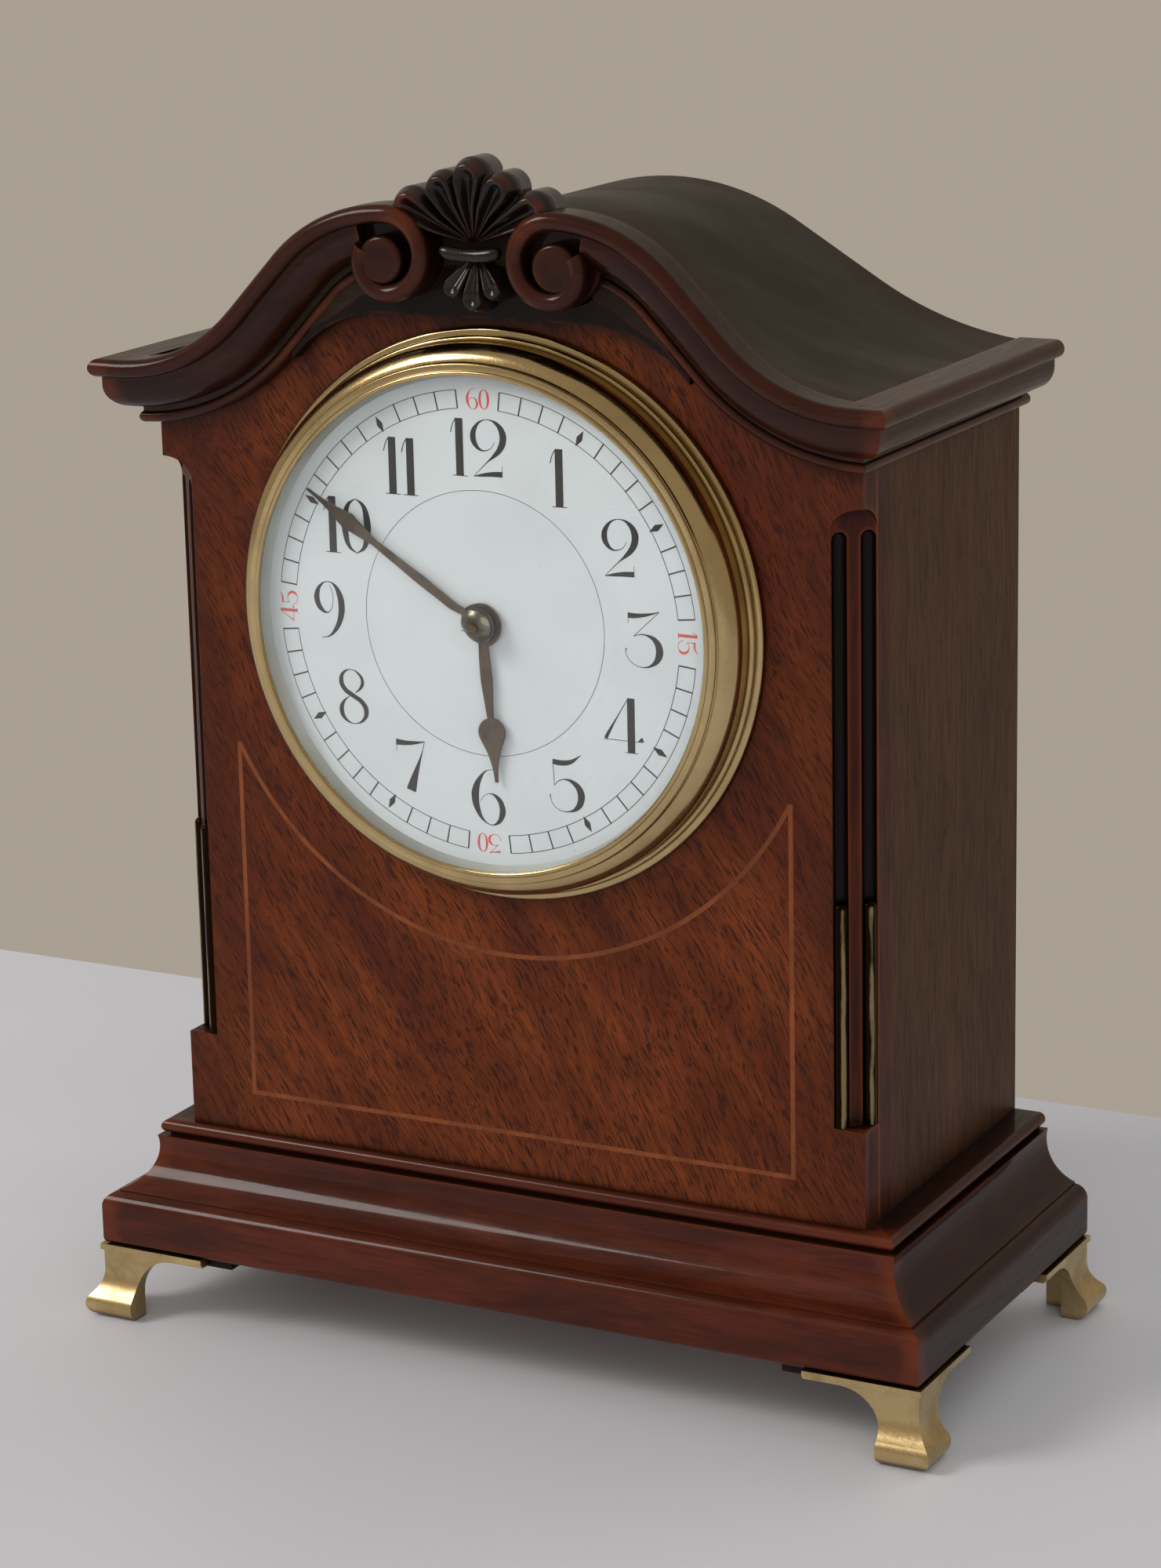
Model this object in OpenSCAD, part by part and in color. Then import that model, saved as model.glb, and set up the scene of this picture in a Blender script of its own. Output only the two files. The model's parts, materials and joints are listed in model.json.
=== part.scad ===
// Mantel clock in an inlaid, shaped wooden case with an eight-day spring movement.
// Millimetres. X to the viewer's right, Y to the back, Z up, ground at zero.
// The frame's Y zero is the middle of the depth from toe to toe.

/* [Case] */
// Width of the case across its side faces
case_w = 142; // [140:1:144]
// Depth of the case from the front face to the back
case_d = 71.5; // [71.5:0.5:73]
// Height of the case floor above the ground
case_floor = 38.4; // [38:0.2:39]
// Height of the underside of the cornice at the corners
case_top = 176.1; // [176:0.1:177]
// Thickness of the side panels
side_t = 8; // [7:0.5:8]
// Thickness of the front panel behind its veneer
front_t = 9; // [8:0.5:9]
// Thickness of the front veneer
veneer_t = 0.8; // [0.6:0.1:0.9]
// Width of a corner post along the front
post_w = 11; // [10:0.5:12]
// Depth of a corner post along the side
post_d = 11.2; // [10.5:0.1:12]
// Drop of the dial's centre below the underside of the cornice
dial_z = 31.4; // [31.1:0.1:32.1]

/* [Canted corners] */
// How far the cant runs in from the corner
cant = 6.2; // [5.8:0.1:6.6]
// Height at which the cant starts above the square block
cant_z0 = 56.8; // [54:0.2:60]
// Drop from the underside of the cornice to the spring of the cant's arched head
cant_z1 = 11.1; // [10.1:0.5:16.1]
// Radius of a flute in the cant
flute_r = 1.45; // [1.3:0.05:1.5]
// Radius of a brass reed standing in a flute
reed_r = 1.25; // [1.1:0.05:1.3]
// Height of the reeds' rounded tops
reed_top = 98.5; // [80:0.5:140]

/* [Inlay] */
// Half the width of the inlaid figure
inlay_x = 56.9; // [50:0.1:58]
// Height of the inlay's bottom line
inlay_z = 46.3; // [44:0.1:50]
// Radius of the inlay's arc below the bezel
inlay_r = 63.8; // [60:0.1:66]
// Width of the inlaid line
inlay_w = 0.9; // [0.6:0.1:1.2]

/* [Base] */
// Height of the base moulding's lower edge
base_z0 = 14.6; // [14.6:0.1:15]
// Projection of the base at its foot beyond the case sides
base_out = 15.1; // [15.1:0.1:15.3]
// How much less the base projects at the front
base_set = 4; // [3:0.5:5]
// Length of a foot's wing along the base
wing_l = 25.6; // [24:0.2:28]
// Wall of the cast foot
foot_wall = 2.4; // [2:0.1:3]
// Outward swell of the foot's toe
toe_out = 3; // [3:0.1:3.2]
// Side of the wooden block behind each foot
block_side = 25.4; // [24:0.2:26]
// Thickness of the wooden block behind each foot
block_t = 2; // [1.8:0.1:3]

/* [Roof and cornice] */
// Rise of the roof's crown above the underside of the cornice
roof_top = 39.5; // [38.9:0.1:39.9]
// Radius of the roof's crown
roof_r = 50; // [50:1:50]
// Radius of the roof's hollow shoulders
hollow_r = 70; // [70:1:70]
// Slope between crown and shoulder
roof_slope = 31.5; // [31.5:0.1:31.5]
// Thickness of the roof board
roof_t = 7; // [6:0.5:7]
// Height of the cornice moulding
corn_h = 12.4; // [12.4:0.1:12.5]
// How much further the front cornice stands out than the side ones
corn_set = 1.6; // [1.4:0.1:1.8]
// Radius of the cornice's rounded nose
nose_r = 1.7; // [1.6:0.05:1.8]
// Reach of the cornice's nose beyond the case
nose_out = 8.8; // [8.8:0.1:9]
// Radius of the swan neck's hollow part, at its top edge
neck_hollow_r = 33; // [33:1:33]
// Radius of the swan neck's round part, at its top edge
neck_round_r = 32.3; // [32.3:0.1:32.3]
// Half-spread of the swan neck's hollow arcs
neck_x = 73.5; // [73.5:0.1:73.5]
// Slope of the swan neck
neck_slope = 46.5; // [46.5:0.1:46.5]
// Length of the swan neck's straight part
neck_run = 14.2; // [14.2:0.1:14.2]
// Radius of the scroll's outer turn
scroll_r1 = 8.7; // [8.7:0.1:8.7]
// Radius of the scroll's inner turn
scroll_r2 = 7; // [7:0.1:7]
// Radius of the scroll's eye
eye_r = 4.4; // [4.2:0.1:4.5]
// Thickness of the ground board behind the scrolls
ped_t = 3.2; // [3:0.1:3.4]

/* [Shell crest] */
// Rise of the point where the shell's ribs meet above the underside of the cornice
shell_z = 35.4; // [34.9:0.1:35.9]
// Radius of a rib's rounded end
rib_r = 3.05; // [2.9:0.05:3.15]
// Depth of the ribs' round front axis in front of the case face
rib_y = 6.5; // [6.3:0.1:6.7]

/* [Head] */
// Width of the bezel, from the dial that shows to its outer edge
bezel_r = 7.7; // [7.7:0.1:8.2]
// Radius of the dial that shows inside the bezel
sight_r = 44.8; // [44.4:0.1:45]
// How much larger in radius the enamel dial is than what shows of it
dial_r = 2.4; // [2.2:0.1:2.5]
// Front face of the dial, measured out from the case face
dial_h = 6.2; // [6.1:0.1:6.2]
// How much larger in radius the glass is than the dial that shows
glass_r = 1.9; // [1.8:0.05:1.9]
// How much larger in radius the drum is than the dial that shows
drum_r = 2.8; // [2.8:0.05:2.9]
// Wall of the drum
drum_t = 1.4; // [1.2:0.1:1.5]
// Length of the minute hand
minute_l = 41.2; // [38:0.2:42]
// Length of the hour hand
hour_l = 28.8; // [26:0.2:30]
// Angle of the minute hand, from twelve, clockwise
minute_angle = 303; // [300:1:306]

/* [Movement] */
// Radius of the front plate
front_plate_r = 42; // [42:0.5:42.5]
// Radius of the back plate
back_plate_r = 40; // [40:0.5:40.5]
// Thickness of the plates
plate_t = 1.8; // [1.6:0.1:1.9]
// Height of the plates' flat top above the dial's centre
plate_flat = 28; // [28:0.1:28]
// Clear space between the plates
plate_gap = 28; // [28:0.1:28]
// Module of the great wheel's teeth
m_great = 0.42; // [0.42:0.01:0.42]
// Module of the intermediate wheel's teeth
m_inter = 0.38; // [0.38:0.01:0.38]
// Module of the centre wheel's teeth
m_centre = 0.36; // [0.36:0.01:0.36]
// Module of the third wheel's teeth
m_third = 0.33; // [0.33:0.01:0.33]
// Module of the contrate wheel's teeth
m_contrate = 0.30; // [0.3:0.01:0.3]
// Module of the cannon pinion and minute wheel
m_minute = 0.50; // [0.5:0.01:0.5]
// Module of the minute pinion and hour wheel
m_hour = 0.48; // [0.48:0.01:0.48]
// Radius of the going barrel
barrel_r = 14.8; // [14:0.1:15]
// Length of the going barrel
barrel_l = 18; // [17:0.5:18]
// Turns of the mainspring
spring_turns = 8; // [6:1:9]
// Radius of the balance wheel
balance_r = 7.6; // [7:0.1:7.8]
// Turns of the hairspring
hair_turns = 5; // [4:1:5]
// Radial step of the hairspring per turn
hair_step = 0.62; // [0.6:0.01:0.64]
// Width of the hairspring's strip
hair_w = 0.15; // [0.12:0.01:0.16]
// Running clearance of pivots and pipes
run = 0.05; // [0.03:0.01:0.08]

/* [Back] */
// Thickness of the back frame
back_t = 8; // [7:0.5:8]
// Distance of the door opening from the outside of the case
open_x = 25; // [25:0.5:26]
// Height of the door opening's sill
open_z0 = 88; // [86:0.5:90]
// Height of the door opening's head above the underside of the cornice
open_z1 = 5.9; // [3.9:0.5:5.9]
// Gap round the door
door_gap = 0.5; // [0.4:0.1:0.6]
// Thickness of the door
door_t = 7; // [6:0.5:7]
// Length of a hinge
hinge_l = 22; // [18:1:24]
// Radius of a hinge knuckle
knuckle_r = 1.2; // [1.1:0.05:1.3]

/* [Hidden] */
$fn = 96;

// Frame and main planes of the case
half_w = case_w / 2;
base_front = base_set - base_out;
base_half = half_w + base_out;
centre_y = (base_front + case_d) / 2;
corn_top = case_top + corn_h;
post_x = half_w - post_w;
cant_face = cant / sqrt(2);
flute_off = 2.7;
far = 300;
dial_at = case_top - dial_z;
cant_top = case_top - cant_z1;
shell_at = case_top + shell_z;
door_half = half_w - open_x;
open_top = case_top + open_z1;

// Radii of the head, from the dial that shows
bezel_out = sight_r + bezel_r;
dial_out = sight_r + dial_r;
glass_out = sight_r + glass_r;
drum_out = sight_r + drum_r;
drum_in = drum_out - drum_t;
flange_r = drum_out + 6.4;
flange_t = 1.5;
ring_at = flange_r - 3;
tab_at = front_plate_r - 1.8;
tab_angles = [30, 150, 270];

// Roof outline: crown arc, straight slope, hollow shoulder
roof_cz = case_top + roof_top - roof_r;
crown_x = roof_r * sin(roof_slope);
crown_z = roof_cz + roof_r * cos(roof_slope);
slope_x = 43;
slope_z = crown_z - (slope_x - crown_x) * tan(roof_slope);
hollow_cx = slope_x + hollow_r * sin(roof_slope);
hollow_cz = slope_z + hollow_r * cos(roof_slope);

// Swan neck: centres of its arcs and ends of its straight part, at the top edge
neck_top_z = corn_top;
neck_hollow_cz = neck_top_z + neck_hollow_r;
neck_a0 = 270 - neck_slope;
neck_p = [neck_x + neck_hollow_r * cos(neck_a0), neck_hollow_cz + neck_hollow_r * sin(neck_a0)];
neck_q = [neck_p[0] - neck_run * cos(neck_slope), neck_p[1] + neck_run * sin(neck_slope)];
neck_round_cx = neck_q[0] - neck_round_r * sin(neck_slope);
neck_round_cz = neck_q[1] - neck_round_r * cos(neck_slope);
scroll_x = neck_round_cx;
scroll_top = neck_round_cz + neck_round_r;
scroll_z1 = scroll_top - scroll_r1;
scroll_z2 = scroll_z1 - scroll_r1 + scroll_r2;
scroll_floor = 4;
nose_d = nose_out - nose_r;

// Depths of the movement, measured out from the case face: negative is inside
fp_back = -1.5 - plate_t;
fp_front = fp_back + plate_t;
bp_front = fp_back - plate_gap;
bp_back = bp_front - plate_t;
pivot_r = 0.8;
pillar_r = 2.5;
pillar_at = 35;
pillar_angles = [25, 155, 205, 300];
dial_foot_at = 30;
dial_feet = [0, 140, 230];
dial_t = 1;

// Tooth counts of the trains
n_great = 84;
n_inter_p = 12;
n_inter = 72;
n_centre_p = 12;
n_centre = 80;
n_third_p = 8;
n_third = 75;
n_contrate_p = 10;
n_contrate = 64;
n_escape_p = 8;
n_escape = 15;
n_cannon = 12;
n_minute = 36;
n_minute_p = 10;
n_hour = 40;
n_ratchet = 20;

// Centre distances and arbor places, from the dial's centre, seen from the front
d_great = m_great * (n_great + n_inter_p) / 2;
d_inter = m_inter * (n_inter + n_centre_p) / 2;
d_centre = m_centre * (n_centre + n_third_p) / 2;
d_third = m_third * (n_third + n_contrate_p) / 2;
d_minute = m_minute * (n_minute + n_cannon) / 2;
function dir(a) = [cos(a), sin(a)];
function ang(p, q) = atan2(q[1] - p[1], q[0] - p[0]);
function circle_meet(p, r, q, s, side) =
    let (d = norm(q - p), a = acos((r * r + d * d - s * s) / (2 * r * d)))
    p + r * dir(ang(p, q) + side * a);
at_centre = [0, 0];
at_barrel = [-8, -18.5];
at_inter = circle_meet(at_centre, d_inter, at_barrel, d_great, 1);
at_contrate = [0, 16.2];
at_third = circle_meet(at_centre, d_centre, at_contrate, d_third, -1);
at_set = [-21.9, 2];
at_minute = circle_meet(at_centre, d_minute, at_set, d_minute, 1);

// Depths of the wheels, front face of each
h_great = fp_back - 1.7;
great_t = 1.8;
h_inter = fp_back - 23;
h_centre = fp_back - 25.3;
wheel_t = 1.2;
h_third = fp_back - 16.7;
crown_tip = fp_back - 10.15;
crown_deep = 1.3;
crown_r = 9.9;
crown_w = 0.9;
escape_y = 12.6;
lever_y = 18.4;
balance_y = 25;
arbor_r = 2.5;
square_w = 3.2;
// The key and the setting knob end short of the door, whatever the depth of the case
key_clear = 3.1;
bow_r = 5;
bow_drop = 2.4;
key_end = key_clear + bow_r + bow_drop + door_t - case_d;
square_end = key_end + 4;
set_end = key_end + 2;
ratchet_t = 1.6;
h_ratchet = bp_back - 0.4;
ratchet_r = 9;
nose_angle = 10;
click_clear = 0.3;
click_nose = at_barrel + (ratchet_r + click_clear) * dir(nose_angle);
click_pivot = click_nose + 7.4 * dir(nose_angle + 90) + 2.2 * dir(nose_angle);
click_axis = ang(click_pivot, click_nose);
click_reach = norm(click_nose - click_pivot);

// Motion work depths
h_minute = -0.6;
h_cannon = -1.2;
cannon_l = 2.2;
h_hour = 1.8;
hour_t = 1;
cannon_in = 0.95 + run;
cannon_out = 1.7;
hour_pipe_in = cannon_out + run;
hour_pipe_out = 2.6;
hour_hand_h = 6.9;
hand_t = 0.5;
minute_hand_h = 7.8;
nut_h = 2.2;
hour_angle = 150 + minute_angle / 12;

// Glass dome
glass_t = 1;
glass_h = 8.1;
glass_rise = 3.8;
glass_R = (glass_out * glass_out + glass_rise * glass_rise) / (2 * glass_rise);
bezel_lip = 10;

// Platform heights above the dial's centre
plat_t = 1.6;
plat_top = plate_flat + plat_t;
plat_w = 30;
hinge_in = 16;
hinge_zs = [open_z0 + hinge_in, open_top - hinge_in];
hinge_x = door_half - door_gap / 2;
hinge_y = case_d + 1.3;
latch_x = 6 - door_half;
latch_z = (open_z0 + open_top) / 2;

// The hairspring's least gap between neighbouring turns
echo(hairspring_gap = hair_step - hair_w);
echo(at_inter = at_inter, at_third = at_third, at_minute = at_minute, click_pivot = click_pivot);

// Placing helpers
module place() { translate([0, -centre_y, 0]) children(); }
module axial() { place() translate([0, 0, dial_at]) rotate([90, 0, 0]) children(); }
module slab(y0, t) { translate([0, y0 + t, 0]) rotate([90, 0, 0]) linear_extrude(t) children(); }
module box(x0, x1, y0, y1, z0, z1) {
    translate([x0, y0, z0]) cube([x1 - x0, y1 - y0, z1 - z0]);
}
module both_sides() {
    children();
    mirror([1, 0, 0]) children();
}
module disc(r, h0, h1) { translate([0, 0, h0]) cylinder(r = r, h = h1 - h0); }
module drum_at(p, r, h0, h1) { translate([p[0], p[1], h0]) cylinder(r = r, h = h1 - h0); }
// Flat shapes, always drawn counter-clockwise
function turned(p) =
    let (n = len(p), a = [for (i = [0:n - 1]) cross(p[i], p[(i + 1) % n])] * [for (i = [0:n - 1]) 1])
    a > 0 ? p : [for (i = [n - 1:-1:0]) p[i]];
module poly(p) { polygon(turned(p)); }
module rect(x0, x1, y0, y1) { translate([min(x0, x1), y0]) square([abs(x1 - x0), y1 - y0]); }
module sector(a0, a1, r) {
    poly(concat([[0, 0]], [for (k = [0:4]) r * dir(a0 + (a1 - a0) * k / 4)]));
}
module band(r0, r1, a0, a1) {
    intersection() {
        difference() {
            circle(r1);
            circle(r0);
        }
        sector(a0, a1, 2 * r1);
    }
}

// Region under the roof's outline, in front view, moved down by drop
module roof_zone(drop) {
    translate([0, -drop]) {
        intersection() {
            translate([0, roof_cz]) circle(roof_r);
            translate([-crown_x, roof_cz]) square([2 * crown_x, roof_r + 1]);
        }
        poly([[-slope_x, 0], [slope_x, 0], [slope_x, slope_z], [crown_x, crown_z],
            [-crown_x, crown_z], [-slope_x, slope_z]]);
        for (s = [-1, 1]) difference() {
            rect(s * slope_x, s * half_w, 0, slope_z);
            translate([s * hollow_cx, hollow_cz]) circle(hollow_r);
        }
    }
}
// Front-view shape of everything that closes up to the roof's underside
module under_roof(x0, x1, z0) {
    intersection() {
        roof_zone(roof_t);
        translate([x0, z0]) square([x1 - x0, far]);
    }
}

// Front corners: cant with an arched head, cut from posts and veneer
module cant_cut() {
    both_sides() translate([half_w, 0, 0]) rotate([0, 0, -45]) {
        translate([-cant_face, -far / 2, cant_z0]) cube([far, far, cant_top - cant_z0]);
        translate([-cant_face, 0, cant_top]) rotate([0, 90, 0]) cylinder(r = cant_face, h = far);
    }
}
module in_flutes() {
    both_sides() translate([half_w, 0, 0]) rotate([0, 0, -45]) {
        for (s = [-1, 1]) translate([-cant_face, s * flute_off, 0]) children();
    }
}
module flute_cut() {
    in_flutes() {
        translate([0, 0, cant_z0]) cylinder(r = flute_r, h = cant_top - cant_z0 - flute_r);
        translate([0, 0, cant_top - flute_r]) sphere(flute_r);
    }
}

// Front panel with the round hole for the head
module front_panel() {
    color("peru") place() difference() {
        slab(veneer_t, front_t) under_roof(-post_x, post_x, case_floor);
        translate([0, -1, dial_at]) rotate([-90, 0, 0]) cylinder(r = drum_out + 0.2, h = far);
        translate([0, 0, dial_at]) rotate([90, 0, 0]) screw_ring(0.02);
    }
}
module inlay_lines(w) {
    z1 = dial_at - sqrt(inlay_r * inlay_r - inlay_x * inlay_x);
    translate([-inlay_x - w / 2, inlay_z - w / 2]) square([2 * inlay_x + w, w]);
    for (s = [-1, 1]) rect(s * inlay_x - w / 2, s * inlay_x + w / 2, inlay_z - w / 2, z1);
    translate([0, dial_at]) intersection() {
        difference() {
            circle(inlay_r + w / 2);
            circle(inlay_r - w / 2);
        }
        translate([-inlay_x - w / 2, -far]) square([2 * inlay_x + w, far + z1 - dial_at]);
    }
}
module front_veneer() {
    color("sienna") place() difference() {
        slab(0, veneer_t) under_roof(-half_w, half_w, case_floor);
        translate([0, -1, dial_at]) rotate([-90, 0, 0]) cylinder(r = drum_out + 0.2, h = 5);
        slab(-1, 5) inlay_lines(inlay_w);
        cant_cut();
        flute_cut();
    }
}
module stringing_inlay() { color("goldenrod") place() slab(0, veneer_t) inlay_lines(inlay_w - 0.02); }

// Sides and corner posts
module side_panel() {
    place() slab(post_d, case_d - post_d) under_roof(half_w - side_t, half_w, case_floor);
}
module side_panel_left() { color("saddlebrown") mirror([1, 0, 0]) side_panel(); }
module side_panel_right() { color("saddlebrown") side_panel(); }
module corner_post() {
    place() difference() {
        slab(veneer_t, post_d - veneer_t) under_roof(post_x, half_w, case_floor);
        cant_cut();
        flute_cut();
    }
}
module corner_post_left() { color("maroon") mirror([1, 0, 0]) corner_post(); }
module corner_post_right() { color("maroon") corner_post(); }
module corner_reeds() {
    color("gold") place() in_flutes() translate([reed_r - flute_r, 0, 0]) {
        translate([0, 0, cant_z0]) cylinder(r = reed_r, h = reed_top - reed_r - cant_z0);
        translate([0, 0, reed_top - reed_r]) sphere(reed_r);
    }
}

// Base: section of its moulding, out from the case side and up from the ground
module base_section() {
    shoulder_r = 2.6;
    shoulder_z = base_z0 + 7.7;
    cove_z = case_floor - 5;
    cove_r = cove_z - shoulder_z - shoulder_r + 0.1;
    fillet_z = case_floor - 3;
    ledge = 5;
    bead_r = 1.3;
    edge_r = 1.2;
    back = -3;
    difference() {
        union() {
            translate([back, base_z0]) square([base_out - back, shoulder_z - base_z0]);
            translate([back, shoulder_z]) square([base_out - shoulder_r - back, shoulder_r]);
            translate([base_out - shoulder_r, shoulder_z]) circle(shoulder_r);
            translate([back, shoulder_z]) square([base_out - 1.1 - back, fillet_z - shoulder_z]);
        }
        translate([base_out + 0.1, cove_z]) circle(cove_r);
        translate([base_out - shoulder_r, shoulder_z + shoulder_r]) square(cove_r);
        difference() {
            translate([base_out - shoulder_r, shoulder_z]) square(shoulder_r + 1);
            translate([base_out - shoulder_r, shoulder_z]) circle(shoulder_r);
        }
        difference() {
            translate([base_out - edge_r, base_z0 - 1]) square([edge_r + 1, edge_r + 1]);
            translate([base_out - edge_r, base_z0 + edge_r]) circle(edge_r);
        }
    }
    translate([back, fillet_z - 0.4]) square([ledge - back, case_floor - fillet_z + 0.4]);
    translate([ledge, case_floor - bead_r]) circle(bead_r);
}
module along_x(x0, x1) { translate([x1, 0, 0]) rotate([90, 0, -90]) linear_extrude(x1 - x0) children(); }
module along_y(y0, y1) { translate([0, y1, 0]) rotate([90, 0, 0]) linear_extrude(y1 - y0) children(); }
// Cutter beyond the mitre plane through (half_w, y0), on its back and outer side
module mitre_cut(y0) {
    translate([half_w, y0, -1]) rotate([0, 0, 45]) translate([0, -far, 0]) cube([far, 2 * far, far]);
}
module base_moulding_front() {
    color("brown") place() difference() {
        translate([0, base_set, 0]) along_x(-base_half - 1, base_half + 1) base_section();
        both_sides() mitre_cut(base_set);
        foot_screws(0.02);
    }
}
module base_moulding_side() {
    place() difference() {
        intersection() {
            translate([half_w, 0, 0]) along_y(base_front - 1, case_d) base_section();
            mitre_cut(base_set);
        }
        foot_screws(0.02);
    }
}
module base_moulding_left() { color("brown") mirror([1, 0, 0]) base_moulding_side(); }
module base_moulding_right() { color("brown") base_moulding_side(); }
module base_block() {
    color("tan") place() difference() {
        box(3 - half_w, half_w - 3, base_set + 3, case_d, base_z0, case_floor);
        foot_screws(0.02);
    }
}

// Feet: ogee section, out from the base's lower edge
module foot_section() {
    toe_r = 2.6;
    toe_d = toe_out - toe_r;
    hollow_z = 9.5;
    hollow = 6.83;
    translate([-foot_wall, 0]) square([foot_wall, base_z0]);
    translate([-foot_wall, base_z0 - 1.2]) square([foot_wall + 0.5, 1.2]);
    translate([toe_d, toe_r]) circle(toe_r);
    translate([-foot_wall, 0]) square([foot_wall + toe_d, toe_r]);
    difference() {
        translate([-1, toe_r]) square([3.17, hollow_z - toe_r]);
        translate([hollow, hollow_z]) circle(hollow);
    }
}
// Side view of a wing, from the toe's corner inward
module wing_outline() {
    knee_r = 8.1;
    knee = [18.5, 4.8];
    difference() {
        square([wing_l, base_z0]);
        translate(knee) circle(knee_r);
        translate([knee[0], -1]) square([far, knee[1] + knee_r + 1]);
        translate([knee[0] - knee_r, -1]) square([far, knee[1] + 1]);
    }
}
module foot_wing() {
    difference() {
        intersection() {
            along_x(toe_out - wing_l, toe_out) foot_section();
            translate([toe_out, far / 2, 0]) mirror([1, 0, 0]) rotate([90, 0, 0]) {
                linear_extrude(far) wing_outline();
            }
        }
        rotate([0, 0, 45]) translate([0, -far, -1]) cube([far, 2 * far, far]);
    }
}
module foot() {
    foot_wing();
    mirror([1, 1, 0]) foot_wing();
}
module at_feet() {
    both_sides() {
        translate([base_half, base_front, 0]) children();
        translate([base_half, case_d, 0]) mirror([0, 1, 0]) children();
    }
}
module bracket_feet() { color("gold") place() at_feet() foot(); }
module foot_blocks() {
    color("dimgray") place() difference() {
        at_feet() translate([-foot_wall, foot_wall, base_z0 - block_t]) rotate([0, 0, 90]) {
            linear_extrude(block_t) poly([[0, 0], [block_side, 0], [block_side, 9], [9, block_side],
                [0, block_side]]);
        }
        foot_screws(0.02);
    }
}
// Slotted countersunk wood screw, head down at z = 0
module wood_screw(len, extra) {
    difference() {
        union() {
            cylinder(r1 = 1.9 + extra, r2 = 0.9 + extra, h = 1.2);
            cylinder(r = 0.9 + extra, h = len);
        }
        if (extra == 0) translate([-2, -0.2, -0.01]) cube([4, 0.4, 0.4]);
    }
}
module foot_screws(extra) {
    at_feet() for (p = [[-8, 17], [-17, 8]]) {
        translate([p[0], p[1], base_z0 - block_t]) wood_screw(12, extra);
    }
}
// Screws through the drum's flange into the back of the front panel
module screw_ring(extra) {
    for (a = [90, 210, 330]) rotate([0, 0, a]) {
        translate([ring_at, 0, -veneer_t - front_t - flange_t]) wood_screw(8, extra);
    }
}
module wood_screws() {
    color("khaki") {
        place() foot_screws(0);
        axial() screw_ring(0);
    }
}

// Roof
module roof_board() {
    color("sienna") place() slab(-ped_t, case_d + ped_t) intersection() {
        difference() {
            roof_zone(0);
            roof_zone(roof_t);
        }
        translate([-half_w, case_top]) square([case_w, far]);
    }
}

// Cornice section: x down from the top edge, y out from the case face, all round smaller by e
module cornice_section(s, e) {
    bead_r = 1.1;
    quirk = 3.1;
    ovolo_r = 4.3;
    ovolo = [corn_h - quirk - ovolo_r, 2.6];
    rect(s * e, s * (corn_h - e), -corn_set, bead_r);
    translate([s * (corn_h - bead_r), bead_r]) circle(bead_r - e);
    rect(s * e, s * (corn_h - 1.6), 0, 1.6 - e);
    rect(s * e, s * (corn_h - quirk - e), 0, ovolo[1]);
    translate([s * ovolo[0], ovolo[1]]) circle(ovolo_r - e);
    rect(s * e, s * ovolo[0], 0, ovolo[1] + ovolo_r - e);
    nose_section(s, e);
}
module nose_section(s, e) {
    rect(s * e, s * (2 * nose_r - e), -corn_set, nose_d);
    translate([s * nose_r, nose_d]) circle(nose_r - e);
}
// Sweep of a section along an arc of radius r at its top edge
module arc_sweep(r, a0, a1) {
    rotate([0, 0, a0]) rotate_extrude(angle = a1 - a0) translate([r, 0]) children();
}
// Right-hand swan neck with its scroll, in front view with height out from the case face.
// The arcs are full size and the links between them a hair smaller, running a little way in.
module swan_neck() {
    joint = 78;
    hair = 0.02;
    lap = 0.3;
    end_x = half_w + nose_out + 2;
    translate([end_x, neck_top_z, 0]) rotate([0, 0, 270]) rotate([90, 0, 0]) {
        linear_extrude(end_x - neck_x + lap) cornice_section(1, hair);
    }
    translate([neck_x, neck_hollow_cz, 0]) arc_sweep(neck_hollow_r, neck_a0, 270) cornice_section(1, 0);
    translate([neck_p[0], neck_p[1], 0]) rotate([0, 0, neck_a0]) rotate([90, 0, 0]) {
        translate([0, 0, -lap]) linear_extrude(neck_run + 2 * lap) cornice_section(1, hair);
    }
    translate([neck_round_cx, neck_round_cz, 0]) {
        arc_sweep(neck_round_r, 90 - neck_slope, joint) cornice_section(-1, 0);
        arc_sweep(neck_round_r, joint - 1, 90.5) nose_section(-1, hair);
    }
    translate([scroll_x, scroll_z1, 0]) arc_sweep(scroll_r1, 90, 270) nose_section(-1, 0);
    translate([scroll_x, scroll_z2, 0]) arc_sweep(scroll_r2, 268, 390) nose_section(-1, hair);
    translate([scroll_x + 0.9, scroll_z2 + 0.6, -corn_set]) rotate_extrude() {
        eye_h = corn_set + nose_out - 0.6;
        square([eye_r, eye_h - 1]);
        square([eye_r - 1, eye_h]);
        translate([eye_r - 1, eye_h - 1]) circle(1);
    }
    translate([scroll_x, scroll_z1, -corn_set]) cylinder(r = scroll_r1 - 0.4, h = corn_set + scroll_floor);
}
module cornice_front() {
    place() difference() {
        translate([0, -corn_set, 0]) rotate([90, 0, 0]) swan_neck();
        mitre_cut(-corn_set);
        slab(-ped_t, 2 * ped_t) difference() {
            translate([-half_w, case_top]) square([case_w, far]);
            roof_zone(roof_t);
        }
    }
}
module cornice_front_left() { color("darkred") mirror([1, 0, 0]) cornice_front(); }
module cornice_front_right() { color("darkred") cornice_front(); }
module cornice_side() {
    place() intersection() {
        translate([half_w, 0, corn_top]) along_y(-nose_out - corn_set - 1, case_d) {
            rotate(-90) intersection() {
                cornice_section(1, 0);
                square([far, far]);
            }
        }
        mitre_cut(-corn_set);
    }
}
module cornice_side_left() { color("darkred") mirror([1, 0, 0]) cornice_side(); }
module cornice_side_right() { color("darkred") cornice_side(); }

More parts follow.
